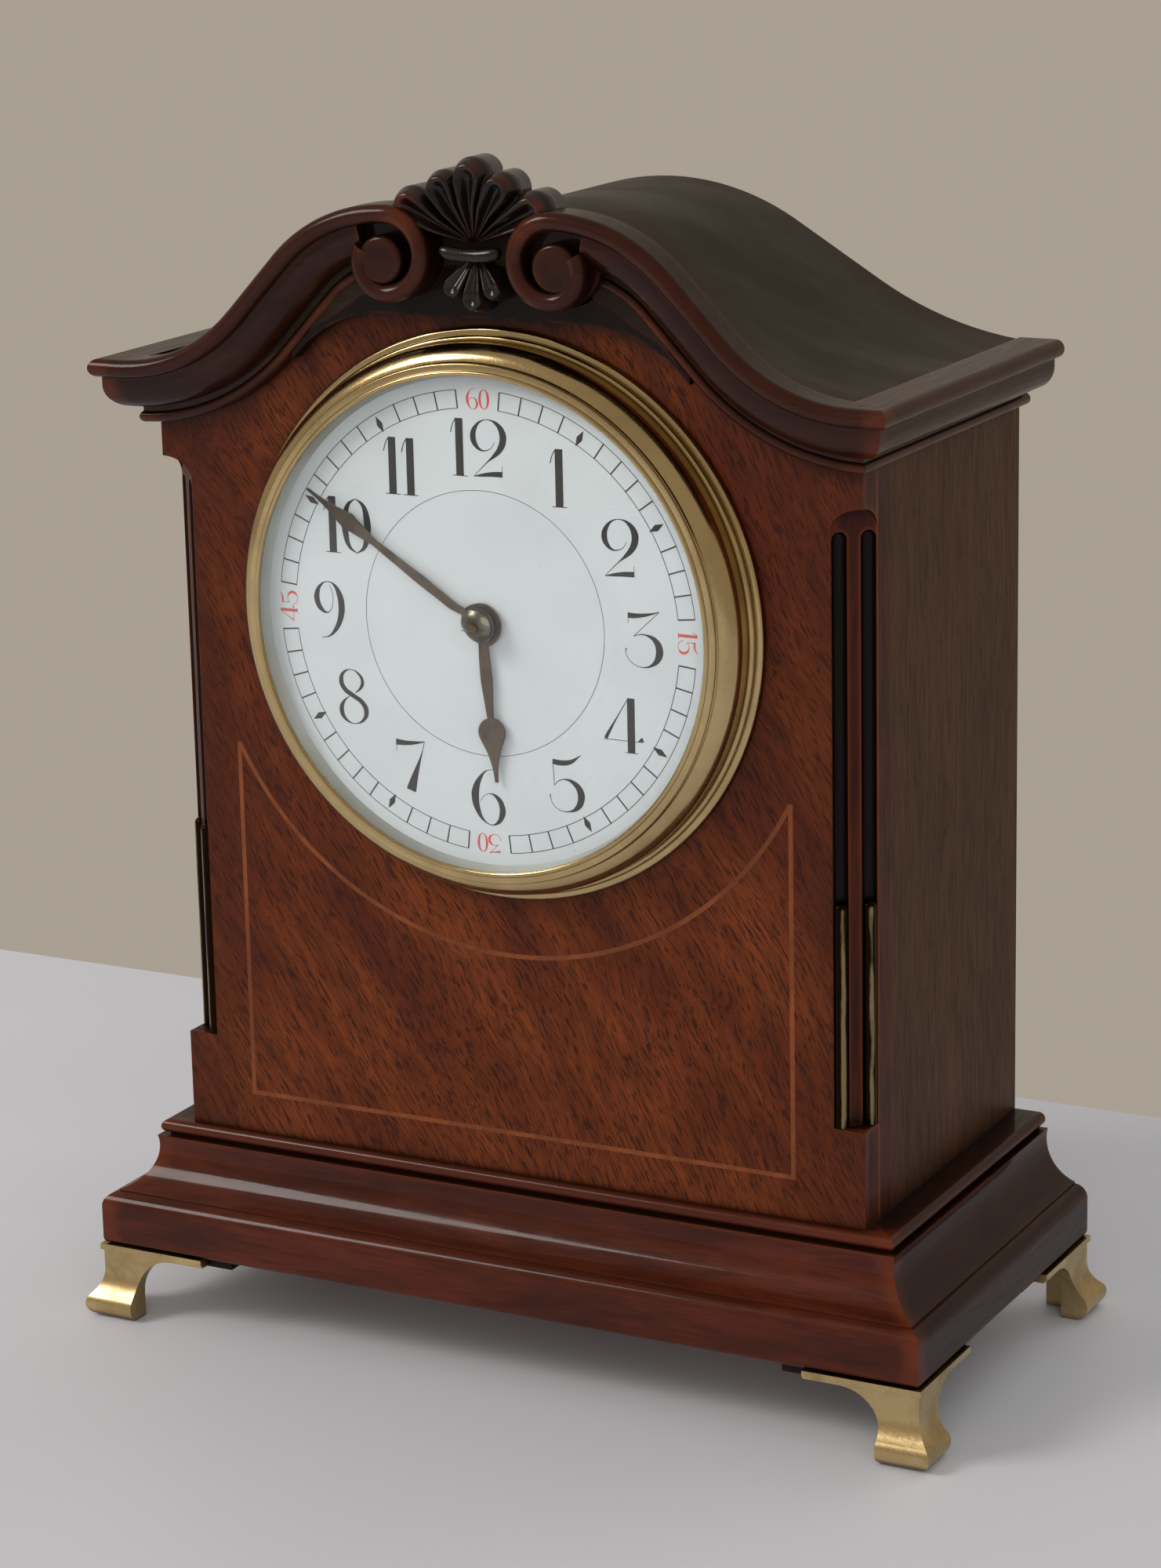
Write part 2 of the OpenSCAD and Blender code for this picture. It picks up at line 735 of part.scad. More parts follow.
// Front-view footprint of one swan neck and its scroll near the middle
module neck_footprint() {
    translate([neck_round_cx, neck_round_cz]) {
        band(neck_round_r - corn_h, neck_round_r, 90 - neck_slope, 92);
    }
    translate([neck_x, neck_hollow_cz]) {
        band(neck_hollow_r, neck_hollow_r + corn_h, neck_a0, 270);
    }
    translate(neck_p) rotate(neck_a0) translate([0, -neck_run]) square([corn_h, neck_run]);
    translate([scroll_x, scroll_z1]) circle(scroll_r1);
    translate([scroll_x, scroll_z2]) circle(scroll_r2);
}
// Ground board behind the scrolls, closing the front under the roof
module pediment_board() {
    edge_x = 20;
    edge_z = case_top + 22.9;
    bezel_gap = 1.7;
    edge_r = 26;
    ped_x = 40;
    ped_z = case_top + 9.9;
    color("black") place() difference() {
        slab(-ped_t, ped_t) difference() {
            under_roof(-ped_x, ped_x, ped_z);
            rect(-edge_x, edge_x, case_top, edge_z);
            for (s = [-1, 1]) translate([s * edge_x, edge_z - edge_r]) circle(edge_r);
        }
        both_sides() slab(-2 * ped_t, 3 * ped_t) neck_footprint();
        slab(-2 * ped_t, 3 * ped_t) translate([0, dial_at]) circle(bezel_out + bezel_gap);
    }
}

// Shell: a rib is a cone with a ball end in front of a flat finger that is a little narrower
module rib(angle, len, back) {
    root = 1.1;
    tuck = 0.2;
    sunk = 0.45;
    side = rib_r - 2 * tuck;
    translate([0, 0, shell_at]) rotate([0, 90 - angle, 0]) {
        translate([0, -rib_y, 0]) cylinder(r1 = root, r2 = rib_r - tuck, h = len);
        translate([0, -rib_y, len]) sphere(rib_r);
        slab(sunk - rib_y, rib_y - sunk - back) {
            poly([[tuck - root, 0], [root - tuck, 0], [side, len], [-side, len]]);
            translate([0, len]) circle(side);
        }
    }
}
module shell_crest() {
    back = 1;
    hub_r = 2.7;
    hub_y = -rib_y - 0.3;
    hub_up = 0.35;
    roll_r = 1.5;
    roll_y = -rib_y - 1;
    roll_z = shell_at - 1.6;
    roll_end = 5;
    knob_r = 1.7;
    tail_y = 0.8 - rib_y;
    tail_z = shell_at - 9;
    tail_x = 5.5;
    ribs = [[90, 13.25], [59.4, 11.97], [120.6, 11.97], [28, 14.3], [152, 14.3]];
    drops = [[-90, 7.2, 1.9], [-58, 5.4, 1.6], [-122, 5.4, 1.6]];
    color("black") place() difference() {
        union() {
            for (r = ribs) rib(r[0], r[1], back);
            translate([0, hub_y, shell_at + hub_up]) sphere(hub_r);
            translate([-roll_end, roll_y, roll_z]) rotate([0, 90, 0]) {
                cylinder(r = roll_r, h = 2 * roll_end);
            }
            for (s = [-1, 1]) translate([s * roll_end, roll_y, roll_z]) sphere(knob_r);
            for (d = drops) translate([0, -rib_y, shell_at - 2]) rotate([0, 90 - d[0], 0]) {
                cylinder(r1 = 1.4, r2 = d[2] - 0.1, h = d[1]);
                translate([0, 0, d[1]]) sphere(d[2]);
            }
            slab(tail_y, -tail_y) translate([-tail_x, tail_z]) square([2 * tail_x, shell_at - tail_z]);
        }
        slab(-ped_t, far) roof_zone(0);
        both_sides() slab(-far, 2 * far) translate([scroll_x, scroll_z1]) circle(scroll_r1 + 0.01);
    }
}

// Back frame, door and hinges
module back_frame() {
    color("saddlebrown") place() difference() {
        slab(case_d - back_t, back_t) under_roof(side_t - half_w, half_w - side_t, case_floor);
        box(-door_half, door_half, 0, far, open_z0, open_top);
    }
}
module back_door() {
    g = door_gap;
    color("peru") place() difference() {
        box(g - door_half, door_half - g, case_d - door_t, case_d, open_z0 + g, open_top - g);
        translate([latch_x, 0, latch_z]) rotate([-90, 0, 0]) cylinder(r = 1.5 + run, h = far);
        for (z = [open_z0 + 22, open_top - 22]) for (x = [-16:8:16]) {
            translate([x, 0, z]) rotate([-90, 0, 0]) cylinder(r = 1.6, h = far);
        }
    }
}
// Hinge: knuckles in thirds of its length, the middle one on the door
module knuckles(z0, z1) {
    translate([hinge_x, hinge_y, z0]) difference() {
        cylinder(r = knuckle_r, h = z1 - z0);
        translate([0, 0, -1]) cylinder(r = 0.6, h = far);
    }
}
module hinge_leaf(x0, x1, z0, z1) {
    difference() {
        box(x0, x1, case_d, case_d + 0.8, z0, z1);
        for (z = [z0 + 3, z1 - 3]) translate([(x0 + x1) / 2, 0, z]) rotate([-90, 0, 0]) {
            cylinder(r = 0.9, h = far);
        }
    }
}
module frame_hinge_leaves() {
    third = hinge_l / 3;
    color("gold") place() for (z = hinge_zs) {
        difference() {
            hinge_leaf(hinge_x, door_half + 8, z - hinge_l / 2, z + hinge_l / 2);
            translate([hinge_x, hinge_y, z - third / 2 - 0.2]) {
                cylinder(r = knuckle_r + 0.3, h = third + 0.4);
            }
        }
        for (k = [-1, 1]) knuckles(z + k * third - third / 2, z + k * third + third / 2);
        translate([hinge_x, hinge_y, z - hinge_l / 2]) cylinder(r = 0.6, h = hinge_l);
    }
}
module door_hinge_leaves() {
    third = hinge_l / 3;
    color("gold") place() for (z = hinge_zs) {
        difference() {
            union() {
                hinge_leaf(door_half - 9, hinge_x - 0.3, z - hinge_l / 2, z + hinge_l / 2);
                box(hinge_x - 1, hinge_x, case_d, case_d + 0.8, z - third / 2 + 0.2, z + third / 2 - 0.2);
                translate([hinge_x, hinge_y, z - third / 2 + 0.2]) cylinder(r = knuckle_r, h = third - 0.4);
            }
            for (k = [-1, 1]) translate([hinge_x, hinge_y, z + k * third - third / 2 - 0.2]) {
                cylinder(r = knuckle_r + 0.3, h = third + 0.4);
            }
            translate([hinge_x, hinge_y, 0]) cylinder(r = 0.6 + run, h = far);
        }
    }
}
module door_latch() {
    color("gold") place() translate([latch_x, 0, latch_z]) {
        translate([0, case_d - 9.8, 0]) rotate([-90, 0, 0]) cylinder(r = 1.5, h = 11);
        translate([0, case_d + 0.2, 0]) rotate([-90, 0, 0]) cylinder(r1 = 4, r2 = 3.4, h = 1);
        translate([-0.8, case_d + 1.1, -3]) cube([1.6, 1.6, 6]);
        box(-1.6, 1.6, case_d - 9.8, case_d - 8.3, -10, 1.6);
    }
}

// Head: drum, dial, bezel and glass
module dial_drum() {
    color("gold") axial() difference() {
        union() {
            difference() {
                disc(drum_out, -veneer_t - front_t - flange_t, dial_h - dial_t);
                disc(drum_in, -far, far);
            }
            difference() {
                disc(flange_r, -veneer_t - front_t - flange_t, -veneer_t - front_t);
                disc(drum_in, -far, far);
            }
            difference() {
                intersection() {
                    disc(drum_in + 0.5, fp_back - 1.5, fp_back);
                    for (a = tab_angles) rotate([0, 0, a]) translate([0, -4, -20]) cube([60, 8, 40]);
                }
                disc(tab_at - 1.6, -far, far);
            }
        }
        tab_screws(0.02);
        screw_ring(0.02);
    }
}
module machine_screw(r, len, extra) {
    translate([0, 0, -len]) cylinder(r = r + extra, h = len + 0.1);
    difference() {
        cylinder(r = 2 * r + extra, h = 0.9);
        if (extra == 0) translate([-2 * r, -0.15, 0.5]) cube([4 * r, 0.3, 1]);
    }
}
module tab_screws(extra) {
    for (a = tab_angles) rotate([0, 0, a]) translate([tab_at, 0, fp_front]) {
        machine_screw(0.7, plate_t + 1.5, extra);
    }
}
module pillar_screws(extra) {
    for (a = pillar_angles) rotate([0, 0, a]) translate([pillar_at, 0, 0]) {
        translate([0, 0, fp_front]) machine_screw(0.8, 5, extra);
        translate([0, 0, bp_back]) mirror([0, 0, 1]) machine_screw(0.8, 5, extra);
    }
}
module plat_screws(extra) {
    for (x = [-1, 1]) for (h = [fp_front - 0.9, bp_back + 0.9]) {
        translate([x * 12.5, plat_top, h]) rotate([-90, 0, 0]) machine_screw(0.5, 4, extra);
    }
}
module plate_screws() {
    color("steelblue") axial() {
        tab_screws(0);
        pillar_screws(0);
        plat_screws(0);
    }
}
module bezel() {
    inner = drum_out + 0.05;
    edge_r = 0.7;
    ring_r = 0.75;
    collar = [2.6, 6];
    swell = [sight_r + 1.8, 4.9];
    swell_r = 3.75;
    crest_r = 0.9;
    lip_x = sight_r + 0.3;
    lip_w = inner - lip_x - 0.35;
    color("gold") axial() rotate_extrude() {
        difference() {
            union() {
                translate([inner, 0]) square([bezel_out - edge_r + 0.1 - inner, 2 * edge_r]);
                translate([bezel_out - edge_r, edge_r]) circle(edge_r);
                translate([bezel_out - 2, 1.7]) circle(ring_r);
                translate([inner, 0]) square(collar);
                translate(swell) circle(swell_r);
                translate([swell[0], bezel_lip - 1.6]) circle(crest_r);
                translate([lip_x, glass_h + glass_t]) square([lip_w, bezel_lip - glass_h - glass_t - 0.4]);
                translate([lip_x + 0.5, bezel_lip - 0.5]) circle(0.5);
            }
            square([inner, glass_h]);
            square([glass_out + 0.05, glass_h + glass_t + 0.3]);
            square([lip_x, far]);
            translate([0, -1]) square([far, 1]);
        }
    }
}
module bezel_glass() {
    color("lightblue", 0.35) axial() intersection() {
        disc(glass_out, glass_h, far);
        difference() {
            translate([0, 0, glass_h + glass_t + glass_rise - glass_R]) sphere(glass_R, $fn = 200);
            translate([0, 0, glass_h + glass_rise - glass_R]) sphere(glass_R, $fn = 200);
        }
    }
}
module sight_ring() {
    color("silver") axial() rotate_extrude() {
        poly([[sight_r - 0.3, dial_h], [dial_out, dial_h], [dial_out, glass_h - 0.05],
            [sight_r + 1.2, glass_h - 0.05]]);
    }
}
module dial() {
    color("white") axial() difference() {
        union() {
            disc(dial_out, dial_h - dial_t, dial_h);
            for (a = dial_feet) rotate([0, 0, a]) translate([dial_foot_at, 0, 0]) {
                disc(0.8, fp_back - 0.6, dial_h - dial_t + 0.1);
            }
        }
        disc(3.2, -far, far);
    }
}

// Toothed wheels
function half_deg(w, r) = asin(w / (2 * r));
function tooth(n, m, add, ded, wr, wp, wt, i) =
    let (rp = m * n / 2, p = PI * m, r0 = rp - ded * m, r1 = rp + add * m, a = 360 * i / n,
        b0 = half_deg(wr * p, r0), bp = half_deg(wp * p, rp), b1 = half_deg(wt * p, r1))
    [r0 * dir(a - b0), rp * dir(a - bp), r1 * dir(a - b1), r1 * dir(a + b1), rp * dir(a + bp),
        r0 * dir(a + b0)];
module wheel_2d(n, m) {
    poly([for (i = [0:n - 1]) each tooth(n, m, 0.9, 1.3, 0.52, 0.44, 0.18, i)]);
}
module pinion_2d(n, m) {
    poly([for (i = [0:n - 1]) each tooth(n, m, 0.6, 1.5, 0.22, 0.34, 0.14, i)]);
}
// Wheel with four crossings between rim and hub
module crossed_wheel(n, m, t, turn) {
    rim = m * n / 2 - 3.2 * m - 0.6;
    hub = 0.24 * rim;
    linear_extrude(t) difference() {
        rotate(turn) wheel_2d(n, m);
        difference() {
            circle(rim);
            circle(hub + 0.8);
            for (k = [0:3]) rotate(90 * k + 20) translate([0, -0.6]) square([2 * rim, 1.2]);
        }
    }
}
module pinion(n, m, t, turn) { linear_extrude(t) rotate(turn) pinion_2d(n, m); }
// A pinion's turn that puts a gap towards the wheel it meshes with
function gap_to(p, q, n) = ang(p, q) + 180 / n;
module arbor(p, h0, h1) { drum_at(p, pivot_r, h0, h1); }

// Plates with their pivot holes
module plate_2d(r) {
    difference() {
        circle(r);
        translate([-far / 2, plate_flat]) square([far, far]);
    }
}
module pivot_holes(h0, h1) {
    for (p = [at_inter, at_third, at_contrate]) drum_at(p, pivot_r + run, h0, h1);
    drum_at(at_centre, 0.95 + run, h0, h1);
    drum_at(at_set, 1.2 + run, h0, h1);
}
module front_plate() {
    color("gold") axial() difference() {
        union() {
            translate([0, 0, fp_back]) linear_extrude(plate_t) plate_2d(front_plate_r);
            drum_at(at_minute, 1, fp_back, 4);
        }
        pivot_holes(-far, far);
        drum_at(at_barrel, 1.6 + run, -far, far);
        for (a = dial_feet) rotate([0, 0, a]) translate([dial_foot_at, 0, 0]) disc(0.82, -far, far);
        tab_screws(0.02);
        pillar_screws(0.02);
        plat_screws(0.02);
    }
}
module back_plate() {
    color("gold") axial() difference() {
        union() {
            translate([0, 0, bp_back]) linear_extrude(plate_t) plate_2d(back_plate_r);
            drum_at(click_pivot, 0.9, bp_back - 2.2, bp_back);
        }
        pivot_holes(-far, far);
        drum_at(at_barrel, 2 + run, -far, far);
        pillar_screws(0.02);
        plat_screws(0.02);
    }
}
module plate_pillars() {
    color("gold") axial() difference() {
        for (a = pillar_angles) rotate([0, 0, a]) translate([pillar_at, 0, bp_front]) rotate_extrude() {
            square([1.7, plate_gap]);
            for (h = [0, plate_gap - 3]) translate([0, h]) square([pillar_r, 3]);
            translate([1.7, plate_gap / 2]) circle(1.1);
            translate([0, plate_gap / 2 - 1.1]) square([1.7, 2.2]);
        }
        pillar_screws(0.02);
    }
}

// Going train
module going_barrel() {
    wall = 1;
    color("gold") axial() translate([at_barrel[0], at_barrel[1], 0]) difference() {
        union() {
            translate([0, 0, h_great - great_t]) linear_extrude(great_t) {
                rotate(ang(at_barrel, at_inter)) wheel_2d(n_great, m_great);
            }
            disc(barrel_r, h_great - great_t - barrel_l, h_great - great_t);
        }
        disc(barrel_r - wall, h_great - great_t - barrel_l + wall, h_great - wall);
        disc(arbor_r + run, -far, far);
    }
}
// Mainspring: one strip wound from the arbor's boss out to the barrel's wall
module mainspring() {
    r0 = 5;
    r1 = barrel_r - 1.6;
    w = 0.4;
    steps = 24 * spring_turns;
    function wind(k, off) = (r0 + off + (r1 - r0) * k / steps) * dir(15 * k);
    color("slategray") axial() translate([at_barrel[0], at_barrel[1], h_great - great_t - barrel_l + 2.2]) {
        linear_extrude(barrel_l - 3) {
            poly(concat([for (k = [0:steps]) wind(k, 0)], [for (k = [steps:-1:0]) wind(k, w)]));
        }
    }
}
module barrel_arbor() {
    hook_r = 4.6;
    h1 = h_great - great_t - barrel_l;
    color("silver") axial() translate([at_barrel[0], at_barrel[1], 0]) {
        disc(1.6, fp_back - 1, fp_front - 0.2);
        disc(arbor_r, h1 - 0.3, fp_back - 0.5);
        disc(hook_r, h1 + 2, h_great - 2);
        disc(2, bp_back - 0.2, h1);
        translate([-square_w / 2, -square_w / 2, square_end]) {
            cube([square_w, square_w, bp_back - 0.1 - square_end]);
        }
    }
}
module ratchet_wheel() {
    root = 7.7;
    pts = [for (i = [0:n_ratchet - 1]) each [ratchet_r * dir(360 * i / n_ratchet),
        root * dir(360 * i / n_ratchet - 2)]];
    g = square_w + 0.04;
    color("steelblue") axial() translate([at_barrel[0], at_barrel[1], h_ratchet - ratchet_t]) {
        linear_extrude(ratchet_t) difference() {
            rotate(nose_angle - 0.8) poly(pts);
            square([g, g], center = true);
        }
    }
}
module winding_key() {
    g = square_w + 0.04;
    front = bp_back - 6.9;
    color("gold") axial() translate([at_barrel[0], at_barrel[1], 0]) difference() {
        union() {
            disc(3.3, key_end, front);
            disc(3.9, front - 2.5, front);
            translate([0, 0, key_end]) rotate([90, 0, 0]) translate([0, 0, -1.1]) linear_extrude(2.2) {
                for (s = [-1, 1]) translate([6.4 * s, -bow_drop]) difference() {
                    circle(bow_r);
                    circle(2.2);
                }
                translate([-3.3, -4]) square([6.6, 5]);
            }
        }
        translate([-g / 2, -g / 2, square_end - 0.1]) cube([g, g, far]);
    }
}
// The click stands just clear of the ratchet's tips: its nose points back along the pull
module click() {
    color("steelblue") axial() translate([click_pivot[0], click_pivot[1], h_ratchet - ratchet_t]) {
        linear_extrude(ratchet_t) rotate(click_axis) difference() {
            union() {
                circle(1.9);
                poly([[0, 1.4], [0, -1.4], [click_reach, 0], [click_reach - 0.3, 1]]);
                translate([-3.6, -0.7]) square([3, 1.4]);
            }
            circle(0.9 + run);
        }
    }
}
module click_spring() {
    off = 2.3;
    color("slategray") axial() translate([click_pivot[0], click_pivot[1], 0]) rotate([0, 0, click_axis]) {
        translate([0, 0, h_ratchet - ratchet_t]) linear_extrude(ratchet_t) {
            translate([-9, off]) square([12.4, 0.3]);
            translate([3.4, off - 0.12]) circle(0.42);
            translate([-10, off - 0.8]) square([3, 2.4]);
        }
        translate([-8.5, off + 0.3, bp_back - 0.6]) cylinder(r = 0.9, h = 0.6);
        translate([-8.5, off + 0.3, h_ratchet - ratchet_t - 0.5]) cylinder(r = 0.9, h = 0.6);
    }
}
module intermediate_wheel() {
    p = at_inter;
    color("goldenrod") axial() {
        arbor(p, bp_back + 0.2, fp_front - 0.2);
        translate([p[0], p[1], 0]) {
            translate([0, 0, h_inter - wheel_t]) {
                crossed_wheel(n_inter, m_inter, wheel_t, ang(p, at_centre));
            }
            translate([0, 0, h_great - great_t - 0.6]) {
                pinion(n_inter_p, m_great, great_t + 1.1, gap_to(p, at_barrel, n_inter_p));
            }
            disc(1.3, h_inter - wheel_t - 0.4, h_inter + 1);
        }
    }
}
module centre_wheel() {
    color("goldenrod") axial() {
        disc(0.95, bp_back + 0.2, minute_hand_h + hand_t + nut_h + 0.2);
        disc(1.5, bp_front + 0.3, fp_back - 0.3);
        translate([0, 0, h_centre - wheel_t]) {
            crossed_wheel(n_centre, m_centre, wheel_t, ang(at_centre, at_third));
        }
        translate([0, 0, h_inter - wheel_t - 0.5]) {
            pinion(n_centre_p, m_inter, wheel_t + 1, gap_to(at_centre, at_inter, n_centre_p));
        }
    }
}
module third_wheel() {
    p = at_third;
    color("goldenrod") axial() {
        arbor(p, bp_back + 0.2, fp_front - 0.2);
        translate([p[0], p[1], 0]) {
            translate([0, 0, h_third - wheel_t]) {
                crossed_wheel(n_third, m_third, wheel_t, ang(p, at_contrate));
            }
            translate([0, 0, h_centre - wheel_t - 0.4]) {
                pinion(n_third_p, m_centre, wheel_t + 0.8, gap_to(p, at_centre, n_third_p));
            }
            disc(1.3, h_third - wheel_t - 0.4, h_third + 1);
        }
    }
}
module contrate_wheel() {
    p = at_contrate;
    color("goldenrod") axial() {
        arbor(p, bp_back + 0.2, fp_front - 0.2);
        translate([p[0], p[1], 0]) {
            translate([0, 0, h_third - wheel_t - 0.4]) {
                pinion(n_contrate_p, m_third, wheel_t + 0.8, gap_to(p, at_third, n_contrate_p));
            }
            translate([0, 0, crown_tip - crown_deep - 1]) linear_extrude(1) difference() {
                circle(crown_r);
                difference() {
                    circle(crown_r - 2);
                    circle(1.8);
                    for (k = [0:2]) rotate(120 * k) translate([0, -0.6]) square([crown_r, 1.2]);
                }
            }
            for (i = [0:n_contrate - 1]) rotate([0, 0, 90 + 360 * i / n_contrate]) {
                translate([crown_r - crown_w, 0, crown_tip - crown_deep]) rotate([90, 0, 90]) {
                    linear_extrude(crown_w) poly([[-0.2, -0.1], [0.2, -0.1], [0.07, crown_deep],
                        [-0.07, crown_deep]]);
                }
            }
        }
    }
}

// Platform escapement on the plates' flat top: x, depth y, height above the dial's centre
module above(y) { place() translate([0, y, dial_at]) children(); }
module escape_wheel() {
    root = 3.6;
    tip = 4.6;
    pts = [for (i = [0:n_escape - 1]) each [root * dir(24 * i), tip * dir(24 * i + 6),
        tip * dir(24 * i + 9), root * dir(24 * i + 10)]];
    color("goldenrod") above(escape_y) {
        translate([0, 0, 23.2]) cylinder(r = 0.35, h = 9.9);
        translate([0, 0, 24.3]) linear_extrude(2.4) rotate(90 + 180 / n_escape_p) {
            pinion_2d(n_escape_p, m_contrate);
        }
        translate([0, 0, 30.5]) linear_extrude(0.6) difference() {
            poly(pts);
            difference() {
                circle(root - 0.7);
                circle(0.9);
                for (k = [0:3]) rotate(90 * k) translate([0, -0.25]) square([root, 0.5]);
            }
        }
    }
}
module pallet_lever() {
    span = lever_y - escape_y;
    color("silver") above(lever_y) {
        translate([0, 0, plat_top - 1.1]) cylinder(r = 0.3, h = 4.6);
        translate([0, 0, 31.4]) linear_extrude(0.5) {
            circle(0.9);
            poly([[0, 0.7], [4.6, -2.2], [5.2, -3.6], [4.2, -3.4], [3.4, -2.4], [0, -0.7],
                [-3.4, -2.4], [-4.2, -3.4], [-5.2, -3.6], [-4.6, -2.2]]);
            poly([[-0.35, 0], [0.35, 0], [0.35, 3.4], [0.8, 4], [0.8, 4.9], [0.42, 4.9], [0.3, 4.2],
                [-0.3, 4.2], [-0.42, 4.9], [-0.8, 4.9], [-0.8, 4], [-0.35, 3.4]]);
        }
        both_sides() translate([4.5, -3.1, 30.5]) rotate([0, 0, -35]) cube([0.6, 0.9, 1.1]);
    }
}
module balance_wheel() {
    color("gold") above(balance_y) {
        translate([0, 0, plat_top - 1]) cylinder(r = 0.3, h = 9.2);
        translate([0, 0, 32.8]) cylinder(r = 1.4, h = 0.4);
        translate([0, 0, 34]) linear_extrude(1) difference() {
            circle(balance_r);
            difference() {
                circle(balance_r - 0.9);
                circle(1.1);
                translate([-balance_r, -0.5]) square([2 * balance_r, 1]);
            }
        }
        for (k = [0:7]) rotate([0, 0, 22.5 + 45 * k]) translate([balance_r - 0.2, 0, 34.5]) {
            rotate([0, 90, 0]) cylinder(r = 0.42, h = 0.9);
        }
        translate([0, 0, 35.8]) cylinder(r = 0.8, h = 0.9);
    }
}
// Hairspring: one flat strip wound out from the collet to its stud on the cock
module hairspring() {
    r0 = 1.0;
    steps = 24 * hair_turns;
    function coil(k, off) = (r0 + off + hair_step * k / 24) * dir(15 * k - 90);
    color("steelblue") above(balance_y) translate([0, 0, 36.1]) linear_extrude(0.3) {
        poly(concat([for (k = [0:steps]) coil(k, 0)], [for (k = [steps:-1:0]) coil(k, hair_w)]));
    }
}
module balance_cock() {
    stud_r = 1.0 + hair_step * hair_turns + hair_w / 2;
    color("gold") above(balance_y) {
        difference() {
            union() {
                translate([0, 0, 37]) linear_extrude(1.2) {
                    circle(2.6);
                    translate([0, -2.2]) square([11.5, 4.4]);
                    translate([-1, -5.4]) square([2, 5.4]);
                }
                translate([9.5, -2.8, plat_top]) cube([4, 5.6, 38.2 - plat_top]);
            }
            translate([0, 0, 30]) cylinder(r = 0.3 + run, h = 8.4);
        }
        translate([0, -stud_r, 35.9]) cylinder(r = 0.35, h = 1.2);
    }
}
module platform() {
    color("gold") axial() difference() {
        translate([-plat_w / 2, plate_flat, bp_back]) cube([plat_w, plat_t, fp_front - bp_back]);
        plat_screws(0.02);
        translate([0, 20, -escape_y]) rotate([-90, 0, 0]) cylinder(r = 1.8, h = 20);
        for (y = [lever_y, balance_y]) translate([0, 20, -y]) rotate([-90, 0, 0]) {
            cylinder(r = 0.3 + run, h = 20);
        }
    }
    color("gold") above(escape_y) difference() {
        union() {
            translate([-1.6, -2.2, 22.6]) cube([3.2, 3.4, 1.1]);
            translate([-1.6, -3.2, 22.6]) cube([3.2, 1.1, plate_flat - 22.6]);
            translate([-1.8, -5.6, 32.6]) cube([3.6, 12.9, 0.9]);
            translate([-1.8, -7.6, plat_top]) cube([3.6, 2.4, 33.5 - plat_top]);
        }
        translate([0, 0, 20]) cylinder(r = 0.35 + run, h = 20);
        translate([0, lever_y - escape_y, 30]) cylinder(r = 0.3 + run, h = 5);
    }
}

// Motion work and hands
module cannon_pinion() {
    color("silver") axial() difference() {
        union() {
            translate([0, 0, h_cannon]) {
                pinion(n_cannon, m_minute, cannon_l, gap_to(at_centre, at_minute, n_cannon));
            }
            disc(cannon_out, h_cannon, minute_hand_h);
            disc(cannon_out - 0.3, 0, minute_hand_h + hand_t);
        }
        disc(cannon_in, -far, far);
    }
}
module minute_wheel() {
    p = at_minute;
    color("goldenrod") axial() translate([p[0], p[1], 0]) difference() {
        union() {
            translate([0, 0, h_minute]) crossed_wheel(n_minute, m_minute, 1, ang(p, at_centre));
            translate([0, 0, h_minute]) {
                pinion(n_minute_p, m_hour, 4, gap_to(p, at_centre, n_minute_p));
            }
        }
        disc(1 + run, -far, far);
    }
}
module hour_wheel() {
    color("goldenrod") axial() difference() {
        union() {
            translate([0, 0, h_hour]) crossed_wheel(n_hour, m_hour, hour_t, ang(at_centre, at_minute));
            disc(hour_pipe_out, h_hour - 0.4, hour_hand_h + hand_t);
        }
        disc(hour_pipe_in, -far, far);
    }
}
// Hollow-sided point from y0 up to y1, narrowing from half-width w0 to w1
module tapered_point(y0, y1, w0, w1, r) {
    difference() {
        translate([-w0, y0]) square([2 * w0, y1 - y0]);
        for (s = [-1, 1]) translate([s * (w1 + r), y1]) circle(r);
    }
}
module hour_hand() {
    pear = 19.6;
    pear_r = 2.65;
    color("dimgray") axial() translate([0, 0, hour_hand_h]) rotate([0, 0, -hour_angle]) {
        linear_extrude(hand_t) difference() {
            union() {
                circle(4);
                poly([[-0.9, 3], [-1.1, 10], [-0.5, 17.5], [0.5, 17.5], [1.1, 10], [0.9, 3]]);
                translate([0, pear]) circle(pear_r);
                tapered_point(pear, hour_l, 2.2, 0.25, 15.8);
            }
            circle(hour_pipe_out + 0.01);
        }
    }
}
module minute_hand() {
    wide = 31.3;
    color("dimgray") axial() translate([0, 0, minute_hand_h]) rotate([0, 0, -minute_angle]) {
        linear_extrude(hand_t) difference() {
            union() {
                circle(3);
                poly([[-0.7, 2.4], [-0.85, 14], [-0.55, 25], [-1.35, 30.5], [1.35, 30.5], [0.55, 25],
                    [0.85, 14], [0.7, 2.4]]);
                translate([0, wide]) circle(1.6);
                tapered_point(wide, minute_l, 1.4, 0.18, 32.5);
            }
            circle(cannon_out - 0.3 + 0.01);
        }
    }
}
module hand_nut() {
    r = 3.3;
    base_h = minute_hand_h + hand_t;
    color("silver") axial() difference() {
        union() {
            disc(r, base_h, base_h + 0.5);
            intersection() {
                disc(r - 0.3, base_h, base_h + nut_h);
                translate([0, 0, base_h + nut_h - 4.5]) sphere(4.5);
            }
        }
        disc(cannon_in, -far, far);
    }
}
